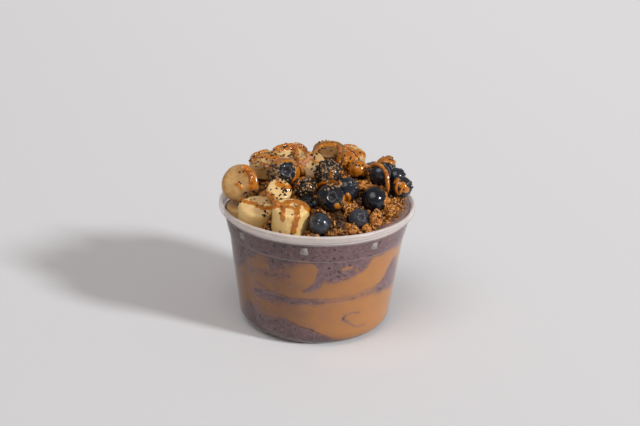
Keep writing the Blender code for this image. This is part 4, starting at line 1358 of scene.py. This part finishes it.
def oat_form(draw):
    """Rolled oat: a thin curled oval flake with a crease."""
    curl = draw.uniform(0.1, 0.45)
    shift = Vector((draw.uniform(0, 50), draw.uniform(0, 50), 0))

    def shape(spot):
        x, y, z = spot
        wavy = 1 + 0.16 * noise.noise(Vector((x, y, 0)) * 1.5 + shift)
        thin = z * 0.22 - 0.09 * math.exp(-(y / 0.16) ** 2) * (1 if z > 0 else -0.4)
        return x * wavy, y * 0.68 * wavy, thin + curl * (x * x * 0.5 + y * y * 0.3)

    return form_from(shape)


def gauss(draw, *spreads):
    """Vector with a random part along each axis."""
    return Vector([draw.gauss(0, spread) for spread in spreads])


def random_sight(px, py, reach, draw, squash=1.0):
    """Line of sight through a random pixel of a zone."""
    away = reach * math.sqrt(draw.random())
    turn = draw.uniform(0, math.tau)
    return sight(px + away * math.cos(turn), py + away * squash * math.sin(turn))


def random_drop(draw):
    """Random place above the toppings."""
    return on_cup(DROP_REACH * math.sqrt(draw.random()), draw.uniform(0, 360), DROP_HEIGHT)


def aimed(spot, normal, draw, wobble):
    """Matrix that stands a small piece on a surface, turned at random and tilted a little."""
    tilt = gauss(draw, wobble, wobble, wobble)
    facing = UP.rotation_difference((normal + tilt).normalized())
    return (Matrix.Translation(spot) @ facing.to_matrix().to_4x4()
            @ Matrix.Rotation(draw.uniform(0, math.tau), 4, 'Z'))


# Things dropped from above start within this radius and at this height
DROP_REACH = 50 * MM
DROP_HEIGHT = 0.2
# The front, which the picture shows, ends here
FRONT_END = 4 * MM
# Crumbs and threads stay within these radii, threads and seeds above these heights
CRUMB_REACH = 52.5 * MM
THREAD_REACH = 53 * MM
THREAD_LOWEST = 72 * MM
THREAD_SIDES = 6
THREAD_STEP = 0.75
SEED_LOWEST = 70 * MM
# Granola lumps that show at the front right, where the picture has them: centre in mm, radius
LUMPS = (
    ((33.4, -37.0, 79.2), 5.4), ((42.5, -22.5, 80.6), 5.2), ((45.5, -15.5, 80.6), 3.4),
    ((24.5, -23.5, 85.0), 3.8), ((13.0, -42.0, 78.2), 4.2), ((27.0, -11.5, 89.0), 4.0),
    ((20.0, -46.0, 76.6), 2.8), ((10.0, -45.5, 76.4), 2.6), ((28.5, -44.5, 76.6), 2.6),
)

# Gaps between the clusters, where no oats lie, darkened as painted shade: middle and reach in
# pixels
GAPS = ((337.5, 220.5, 8.5), (360, 202, 5), (312, 208, 5), (340, 213, 6), (372, 214, 4),
        (390, 192, 4))

# Where tangled threads take the place of the grains
TANGLES = ((401, 204, 12), (391, 213, 9), (406, 199, 8))


def in_zone(point, zones):
    """Whether a point on the front half falls in one of a few zones of the picture."""
    spot = in_picture(point)
    return point.y < FRONT_END and any(math.dist(spot, zone[:2]) < zone[2] for zone in zones)


def in_gap(point):
    """Whether a point falls in a gap between the clusters, where painted shade darkens the crumbs.
    """
    return in_zone(point, GAPS)


CORE_VOXEL = 0.75 * MM


class ACAI_OT_granola(bpy.types.Operator):
    """Granola heap: its own core, with oats, crumbs and lumps over it"""

    bl_idname = "acai.granola"
    bl_label = "Granola"

    def execute(self, context):
        looks = context.scene.acai_toppings
        draw = random.Random(21)
        solid = placed("granola_core", frame["nodes"]["granola"].data.copy())
        remesh = solid.modifiers.new("Remesh", 'REMESH')
        remesh.mode = 'VOXEL'
        remesh.voxel_size = CORE_VOXEL
        mesh = evaluated(solid)
        bpy.data.objects.remove(solid, do_unlink=True)
        mesh.shade_smooth()
        normals = [v.normal.copy() for v in mesh.vertices]
        for vert, normal in zip(mesh.vertices, normals):
            lumps = noise.fractal(vert.co / (3.2 * MM), 0.8, 2.0, 3)
            vert.co -= normal * (0.35 * MM + 0.55 * MM * lumps) * (0.3 + 0.7 * max(normal.z, 0))
        # Painted shade: the whole core takes the darkest tone, for the shade deep in the heap
        set_values(mesh, "tone", [1.0] * len(mesh.vertices))
        core = add_piece("granola_core", mesh, "granola",
                         (granola_material("granola core", looks, 0.5),), "granola")
        spots = self.spots(mesh, draw, looks.oats)
        self.oats(spots, draw, looks)
        self.crumbs(spots, draw, looks)
        self.lumps(draw, looks)
        self.threads(core, draw, looks)
        TOPPINGS.append(core)
        return {'FINISHED'}

    def spots(self, mesh, draw, count):
        """Points on the upper side of the core that no topping covers."""
        candidates = [p for p in mesh.polygons if p.normal.z > 0.15]
        found = []
        for i in range(count * 6):
            face = candidates[draw.randrange(len(candidates))]
            spot = face.center + face.normal * 0.4 * MM
            if not in_topping(spot + Vector((0, 0, 0.5 * MM)), 0.5 * MM):
                found.append((spot.copy(), face.normal.copy()))
            if len(found) >= count:
                break
        return found

    def oats(self, spots, draw, looks):
        forms = [oat_form(draw) for i in range(8)]
        scatter = Scatter()
        for spot, normal in spots:
            size = draw.uniform(1.5, 2.5) * MM
            if in_topping(spot, size * 0.55) or in_gap(spot) or in_zone(spot, TANGLES):
                continue
            matrix = aimed(spot, normal, draw, 0.45) @ Matrix.Scale(size, 4)
            scatter.add(forms[draw.randrange(len(forms))], matrix, draw.random())
        scatter.lay("granola_oats", granola_material("oats", looks, 0.8))

    def crumbs(self, spots, draw, looks):
        forms = [ball_form((1, 0.85, 0.75), draw, 0.5) for i in range(6)]
        scatter = Scatter()
        for spot, normal in spots:
            size = draw.uniform(0.45, 1.25) * MM
            place = spot + gauss(draw, 1.2, 1.2).to_3d() * MM + normal * 0.3 * MM
            if in_topping(place, size * 0.8) or math.hypot(place.x, place.y) > CRUMB_REACH:
                continue
            if in_gap(place) and draw.random() < 0.4:
                continue
            if in_zone(place, TANGLES) and draw.random() < 0.75:
                continue
            form = forms[draw.randrange(len(forms))]
            matrix = aimed(place, normal, draw, 0.5) @ Matrix.Scale(size, 4)
            # Crumbs in the gaps take the darkest tone, as painted shade
            scatter.add(form, matrix, 1.0 if in_gap(place) else draw.random())
        scatter.lay("granola_crumbs", granola_material("crumbs", looks, 1.0))

    def threads(self, core, draw, looks):
        """Sticky threads that wander over the heap and its lumps."""
        tree = surfaces([core, bpy.data.objects["granola_lumps"], bpy.data.objects["acai_blend"]])
        scatter = Scatter()
        starts = []
        for px, py, reach, count in THREAD_ZONES:
            for i in range(count):
                starts.append(tree.ray_cast(*random_sight(px, py, reach, draw)))
        for i in range(looks.threads):
            starts.append(tree.ray_cast(random_drop(draw), -UP))
        for spot, normal, index, distance in starts:
            if spot is None or in_topping(spot, 0.8 * MM) or spot.z < THREAD_LOWEST or in_gap(spot):
                continue
            self.wander(tree, scatter, spot, normal, draw)
        paint = Paint("threads")
        pale = (paint.attribute("tone") * 1.2 + paint.noise(2 * MM, 3) - 0.4).step(0.1, 0.8)
        base = paint.mix(pale, looks.granola_pale, times(looks.drizzle, 0.6))
        material = paint.finish(paint.shader(
            base, 0.3, paint.bump(paint.noise(0.8 * MM, 3), 0.15 * MM, 0.5),
            Coat_Weight=0.4, Coat_Roughness=0.15))
        scatter.lay("granola_threads", material)

    def wander(self, tree, scatter, spot, normal, draw):
        """One thread that curls over the surface from a spot."""
        along = normal.cross(gauss(draw, 1, 1, 1)).normalized()
        curl = draw.gauss(0, 0.5)
        lift = draw.uniform(0.3, 2.4) * MM
        path = []
        for i in range(draw.randint(7, 16)):
            curl = 0.7 * curl + draw.gauss(0, 0.35)
            along = (Matrix.Rotation(curl, 3, normal) @ along).normalized()
            near, facing, index, distance = tree.find_nearest(spot + along * THREAD_STEP * MM)
            if near is None or math.hypot(near.x, near.y) > THREAD_REACH:
                break
            if in_topping(near, 0.4 * MM):
                break
            spot, normal = near, facing
            path.append(spot + normal * lift * (0.6 + 0.6 * math.sin(i * 0.9 + lift / MM * 20)))
        if len(path) > 3:
            strand(scatter, path, draw.uniform(0.34, 0.62) * MM, draw, THREAD_SIDES)
            count = THREAD_SIDES * len(path)
            scatter.tones[-count:] = [draw.random() * 0.6] * count

    def lumps(self, draw, looks):
        """Sticky clusters built up from grains."""
        forms = [ball_form((1, 0.8, 0.7), draw, 0.45) for i in range(6)]
        scatter = Scatter()
        for place, radius in LUMPS:
            for i in range(int(13 * radius)):
                direction = gauss(draw, 1, 1, 0.9).normalized()
                spot = (Vector(place) + direction * radius * draw.uniform(0.55, 0.95)) * MM
                size = draw.uniform(0.8, 1.7) * MM
                sparse = in_zone(spot, TANGLES) and draw.random() < 0.7
                if in_topping(spot, size * 0.6) or in_gap(spot) or sparse:
                    continue
                form = forms[draw.randrange(len(forms))]
                matrix = aimed(spot, direction, draw, 0.4) @ Matrix.Scale(size, 4)
                scatter.add(form, matrix, draw.random() * 0.5)
        scatter.lay("granola_lumps", granola_material("lumps", looks, 1.0, 1.6))


# Tangled threads of peanut butter and crumbs: middle and reach in pixels, and how many
THREAD_ZONES = (
    (400, 206, 13, 120), (390, 214, 9, 70), (405, 200, 8, 50), (376, 219, 9, 60), (350, 232, 8, 14),
    (336, 230, 8, 14), (362, 190, 8, 20), (345, 212, 8, 16),
)
# Seeds where the picture shows most of them: middle and reach in pixels, and how many
SEED_ZONES = (
    (276, 172, 9, 40), (290, 161, 12, 26), (286, 180, 14, 22), (329, 172, 15, 210),
    (305, 187, 12, 80), (250, 195, 7, 10), (262, 202, 8, 4), (283, 196, 5, 6),
    (262, 158, 13, 20), (288, 148, 15, 14), (278, 193, 9, 9), (242, 178, 10, 5),
    (290, 209, 12, 5), (264, 214, 4, 8), (268, 226, 4, 10),
    (345, 161, 9, 10), (358, 170, 8, 6), (333, 185, 11, 22), (316, 160, 9, 10), (398, 186, 9, 8),
    (290, 232, 10, 5), (240, 203, 3, 2), (343, 203, 5, 6), (310, 197, 7, 20),
)
CRUMB_ZONES = (
    (329, 171, 14, 90), (286, 172, 14, 20), (273, 174, 7, 60), (286, 163, 10, 36),
    (305, 187, 11, 44), (262, 159, 12, 60), (262, 190, 9, 12), (343, 203, 5, 16),
    (330, 184, 10, 22), (290, 149, 12, 10),
)


def in_bare_crown(point):
    """Whether a point lies in the crown of a berry that is seen clean."""
    for item in BERRIES:
        if item.bare > 20 and (point - item.place).length < item.radius * 1.15:
            local = item.matrix.inverted() @ point
            if math.atan2(math.hypot(local.x, local.y), local.z) < math.radians(item.bare):
                return True
    return False


class ACAI_OT_seeds(bpy.types.Operator):
    """Chia seeds on the toppings"""

    bl_idname = "acai.seeds"
    bl_label = "Chia seeds"

    def execute(self, context):
        looks = context.scene.acai_toppings
        draw = random.Random(33)
        tree = surfaces(TOPPINGS)
        forms = [ball_form((1.0, 0.72, 0.6), draw, 0.12) for i in range(4)]
        scatter = Scatter()
        self.sprinkle(SEED_ZONES, tree, forms, scatter, draw, 0.65)
        for i in range(looks.seeds):
            spot = random_drop(draw)
            if spot.y >= FRONT_END:
                self.settle(tree.ray_cast(spot, -UP), forms, scatter, draw, 0.7)
        paint = Paint("chia seed")
        tone = paint.attribute("tone")
        spots = paint.noise(0.5 * MM, 2).step(0.4, 0.6)
        base = paint.mix(tone.step(0.55, 1.0) * 0.7 + spots * 0.3,
                         (0.010, 0.007, 0.005), (0.10, 0.065, 0.04))
        material = paint.finish(paint.shader(base, 0.55, Specular_IOR_Level=0.3))
        scatter.lay("chia_seeds", material)

        crumbs = [ball_form((1.0, 0.8, 0.7), draw, 0.6) for i in range(4)]
        dust = Scatter()
        self.sprinkle(CRUMB_ZONES, tree, crumbs, dust, draw, 0.6)
        paint = Paint("crumb dust")
        base = paint.mix(paint.attribute("tone"), (0.50, 0.31, 0.14), (0.20, 0.10, 0.04))
        material = paint.finish(paint.shader(base, 0.45))
        dust.lay("crumb_dust", material)
        return {'FINISHED'}

    def sprinkle(self, zones, tree, forms, scatter, draw, mean):
        """Lays seeds or crumbs in zones of the picture."""
        for px, py, reach, count in zones:
            for i in range(count):
                hit = tree.ray_cast(*random_sight(px, py, reach, draw, 0.8))
                self.settle(hit, forms, scatter, draw, mean)

    def settle(self, hit, forms, scatter, draw, mean):
        """Lays one seed or crumb of about a mean size in mm on the surface that was hit."""
        spot, normal, index, distance = hit
        if spot is None or spot.z < SEED_LOWEST or in_bare_crown(spot):
            return
        size = mean * draw.uniform(0.8, 1.3) * MM
        matrix = aimed(spot + normal * size * 0.28, normal, draw, 0.15) @ Matrix.Scale(size, 4)
        form, tone = forms[draw.randrange(len(forms))], draw.random()
        if spot.z + size < TOP:
            scatter.add(form, matrix, tone)


# Drizzle strokes as the picture shows them: pixels along each, and the strand's radius in mm
STROKES = (
    (((240.5, 200.5), (247, 202.5), (254, 205), (262, 208.5), (270, 209), (279, 207)), 1.3),
    (((267, 193), (271, 198), (276, 203), (280, 206)), 1.5),
    (((245, 168), (249, 172), (251, 178), (251, 185)), 1.3),
    (((257, 158), (263, 155), (270, 156), (276, 161)), 1.2),
    (((292, 147), (297, 151), (295, 157)), 1.3),
    (((308, 151), (311, 156), (309, 161)), 1.2),
    (((316, 152), (319, 147), (326, 144.5), (337, 144)), 0.9),
    (((337, 145), (340, 150), (339, 157)), 1.2),
    (((297, 163), (302, 169), (304, 176), (300, 184)), 1.6),
    (((341, 163), (344, 170), (343, 177)), 1.1),
    (((318, 187), (323, 183), (331, 181.5), (340, 184)), 1.1),
    (((346, 193), (349, 198), (346, 204), (341, 209)), 1.6),
    (((376, 161.5), (383, 158.5), (390, 158.5), (395, 163)), 1.2),
    (((398, 182), (396, 189), (399, 194), (403, 186)), 1.0),
    (((355, 180), (360, 184), (366, 189)), 2.4),
)
# Strand that arches over a blueberry at the right, close to its solid: centre line in mm
ARCH = ((30.6, -0.9, 98.0), (33.8, -2.9, 100.3), (36.6, -4.6, 100.2), (38.9, -6.6, 98.4),
        (40.3, -8.8, 95.2), (40.9, -10.9, 91.0), (41.2, -12.4, 87.0))
# Strokes from above on the side that the picture doesn't show, in mm
BACK_STROKES = (
    ((-44, 20), (-34, 24), (-24, 32), (-12, 38), (0, 44)),
    ((-30, 34), (-16, 40), (4, 36), (18, 42)),
    ((8, 48), (20, 40), (28, 30), (40, 24)), ((24, 20), (34, 26), (44, 20)),
    ((-46, 4), (-40, 12), (-32, 18), (-20, 22)),
)
BACK_RADIUS = 1.2 * MM
ARCH_RADIUS = 1.3 * MM
# A stroke leaves out a point that lies further off, as behind an edge
STROKE_JUMP = 14 * MM
DROP_JUMP = 3.5 * MM


def smooth_path(points, per_span):
    """Points read from a smooth curve through the given ones."""
    ends = [points[0] * 2 - points[1]] + points + [points[-1] * 2 - points[-2]]
    path = []
    for a, b, c, d in zip(ends, ends[1:], ends[2:], ends[3:]):
        for i in range(per_span):
            t = i / per_span
            path.append(0.5 * (2 * b + (c - a) * t + (2 * a - 5 * b + 4 * c - d) * t * t
                               + (3 * b - a - 3 * c + d) * t ** 3))
    path.append(points[-1])
    return path


def strand(scatter, path, radius, draw, sides=10):
    """Soft strand along a path, with blunt ends and an uneven width."""
    seed = draw.uniform(0, 100)
    rings = []
    for k, point in enumerate(path):
        ahead = path[min(k + 1, len(path) - 1)] - path[max(k - 1, 0)]
        along = ahead.normalized() if ahead.length else Vector((1, 0, 0))
        aside = along.cross(UP)
        aside = aside.normalized() if aside.length > 1e-4 else Vector((1, 0, 0))
        over = aside.cross(along)
        part = k / (len(path) - 1)
        blunt = math.sqrt(max(1 - (2 * part - 1) ** 8, 0.02))
        width = radius * blunt * (1 + 0.28 * noise.noise(Vector((k * 0.22, seed, 0))))
        rings.append([point + (aside * math.cos(t) + over * math.sin(t)) * width
                      for t in (math.tau * i / sides for i in range(sides))])
    scatter.add(loft(rings, False), Matrix.Identity(4), draw.random())


class ACAI_OT_drizzle(bpy.types.Operator):
    """Peanut butter and caramel drizzle over the toppings"""

    bl_idname = "acai.drizzle"
    bl_label = "Drizzle"

    def execute(self, context):
        looks = context.scene.acai_toppings
        draw = random.Random(44)
        tree = surfaces(TOPPINGS)
        scatter = Scatter()
        for pixels, radius in STROKES:
            points = []
            for px, py in pixels:
                spot = tree.ray_cast(*sight(px, py))[0]
                if spot is not None and (not points or (spot - points[-1]).length < STROKE_JUMP):
                    points.append(spot)
            if len(points) > 1:
                self.lay(tree, scatter, points, radius * MM, draw)
        for stroke in BACK_STROKES:
            for points in self.dropped(tree, stroke):
                self.lay(tree, scatter, points, BACK_RADIUS, draw)
        strand(scatter, smooth_path([Vector(p) * MM for p in ARCH], 8), ARCH_RADIUS, draw)
        paint = Paint("caramel drizzle")
        material = paint.finish(paint.shader(
            paint.caramel_tones(looks.drizzle, 0.8), 0.12,
            paint.bump(paint.noise(1.5 * MM, 3), 0.15 * MM, 0.5),
            Subsurface_Weight=0.15, Subsurface_Radius=(1.0, 0.4, 0.12), Subsurface_Scale=1.5 * MM,
            Coat_Weight=0.5, Coat_Roughness=0.05))
        scatter.lay("caramel_drizzle", material, "peanut_butter")
        return {'FINISHED'}

    def dropped(self, tree, stroke):
        """Runs of points that a stroke from above leaves, parted where it falls off an edge."""
        corners = [Vector((x * MM, y * MM, DROP_HEIGHT)) for x, y in stroke]
        runs = [[]]
        for start in smooth_path(corners, 8):
            spot, normal, index, distance = tree.ray_cast(start, -UP)
            if spot is None or (runs[-1] and (spot - runs[-1][-1]).length > DROP_JUMP):
                runs.append([])
            if spot is not None:
                runs[-1].append(spot + normal * 0.3 * MM)
        return [run for run in runs if len(run) > 3]

    def lay(self, tree, scatter, points, radius, draw):
        """Lays a strand over the surfaces along a few points."""
        path = []
        for point in smooth_path(points, 6):
            spot, normal, index, distance = tree.find_nearest(point)
            if spot is not None and distance < 2.5 * MM:
                point = point.lerp(spot - normal * radius * 0.2, 0.85)
            path.append(point)
        eased = [path[0]]
        for before, here, after in zip(path, path[1:], path[2:]):
            eased.append((before + here * 2 + after) / 4)
        eased.append(path[-1])
        strand(scatter, eased, radius, draw)


FLOOR_RADIUS = 6.0
# Light of the sky and the top lamp, and of the key lamp
WARM = (1.0, 0.955, 0.945)
COOL = (0.95, 0.975, 1.0)


class ACAI_OT_stage(bpy.types.Operator):
    """Pale floor, soft studio light and the camera at the photograph's viewing angle"""

    bl_idname = "acai.stage"
    bl_label = "Stage"

    def execute(self, context):
        looks = context.scene.acai_stage
        scene = context.scene
        bm = bmesh.new()
        bmesh.ops.create_circle(bm, cap_ends=True, segments=96, radius=FLOOR_RADIUS)
        floor = placed("floor", mesh_of(bm, "floor"))
        paint = Paint("pale floor")
        # Painted light: the floor's colour grows lighter towards the back and the right
        far = (paint.axis("X") * 1.4 + paint.axis("Y") * 0.6).step(-0.7, 0.9)
        base = paint.mix(far, times(looks.floor, 0.91), times(looks.floor, 1.04))
        floor.data.materials.append(paint.finish(paint.shader(base, 0.75, Specular_IOR_Level=0.2)))
        floor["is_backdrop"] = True
        self.camera(scene)
        self.lights(scene, looks)
        scene.view_settings.view_transform = 'Standard'
        return {'FINISHED'}

    def camera(self, scene):
        data = bpy.data.cameras.new("camera")
        data.sensor_width = SENSOR
        data.lens = VIEW_FOCAL / PICTURE_WIDTH * SENSOR
        data.clip_end = 50
        camera = placed("camera", data)
        turn = Matrix((EYE_RIGHT, EYE_UP, EYE_BACK)).transposed().to_4x4()
        camera.matrix_world = Matrix.Translation(EYE) @ turn
        scene.camera = camera

    def lights(self, scene, looks):
        world = bpy.data.worlds.new("studio")
        scene.world = world
        world.use_nodes = True
        background = world.node_tree.nodes["Background"]
        background.inputs["Color"].default_value = (*WARM, 1)
        background.inputs["Strength"].default_value = looks.sky
        self.lamp("key", looks.key_side, looks.key_rise, 9, looks.key_strength, COOL)
        self.lamp("top", looks.top_side, looks.top_rise, 45, looks.top_strength, WARM)

    def lamp(self, name, side, rise, spread, strength, colour):
        """Far soft light from a side and a height, as wide as its spread in degrees."""
        data = bpy.data.lights.new(name, 'SUN')
        data.angle = math.radians(spread)
        data.energy = strength
        data.color = colour
        direction = on_cup(math.cos(rise), math.degrees(side), math.sin(rise))
        turn = direction.to_track_quat('Z', 'Y').to_matrix().to_4x4()
        placed(name, data).matrix_world = Matrix.Translation(direction) @ turn


class ACAI_PT_panel(bpy.types.Panel):
    """Lists the pieces of the acai bowl"""

    bl_label = "Acai Bowl"
    bl_idname = "ACAI_PT_panel"
    bl_space_type = 'VIEW_3D'
    bl_region_type = 'UI'
    bl_category = "Acai Bowl"

    def draw(self, context):
        for name, group in GROUPS.items():
            box = self.layout.box()
            box.label(text=group.__doc__)
            for key in group.__annotations__:
                box.prop(getattr(context.scene, name), key)
        for step in STEPS:
            self.layout.operator(step.bl_idname)


GROUPS = {
    "acai_cup": CupLooks,
    "acai_fill": FillLooks,
    "acai_fruit": FruitLooks,
    "acai_toppings": ToppingLooks,
    "acai_stage": StageLooks,
}
STEPS = (ACAI_OT_stage, ACAI_OT_cup, ACAI_OT_acai, ACAI_OT_butter, ACAI_OT_bananas,
         ACAI_OT_blueberries, ACAI_OT_granola, ACAI_OT_drizzle, ACAI_OT_seeds)
CLASSES = (*GROUPS.values(), *STEPS, ACAI_PT_panel)


def register():
    for item in CLASSES:
        bpy.utils.register_class(item)
    for name, group in GROUPS.items():
        setattr(bpy.types.Scene, name, PointerProperty(type=group))


def unregister():
    for name in GROUPS:
        delattr(bpy.types.Scene, name)
    for item in reversed(CLASSES):
        bpy.utils.unregister_class(item)


def main():
    register()
    bpy.ops.acai.stage()
    bpy.ops.acai.cup()
    bpy.ops.acai.acai()
    bpy.ops.acai.butter()
    bpy.ops.acai.bananas()
    bpy.ops.acai.blueberries()
    bpy.ops.acai.granola()
    bpy.ops.acai.drizzle()
    bpy.ops.acai.seeds()
    sizes = {name: [list(corner) for corner in bounds]
             for name, bounds in (("cad", CAD_BOUNDS), ("visual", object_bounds()))}


if __name__ == "__main__":
    main()
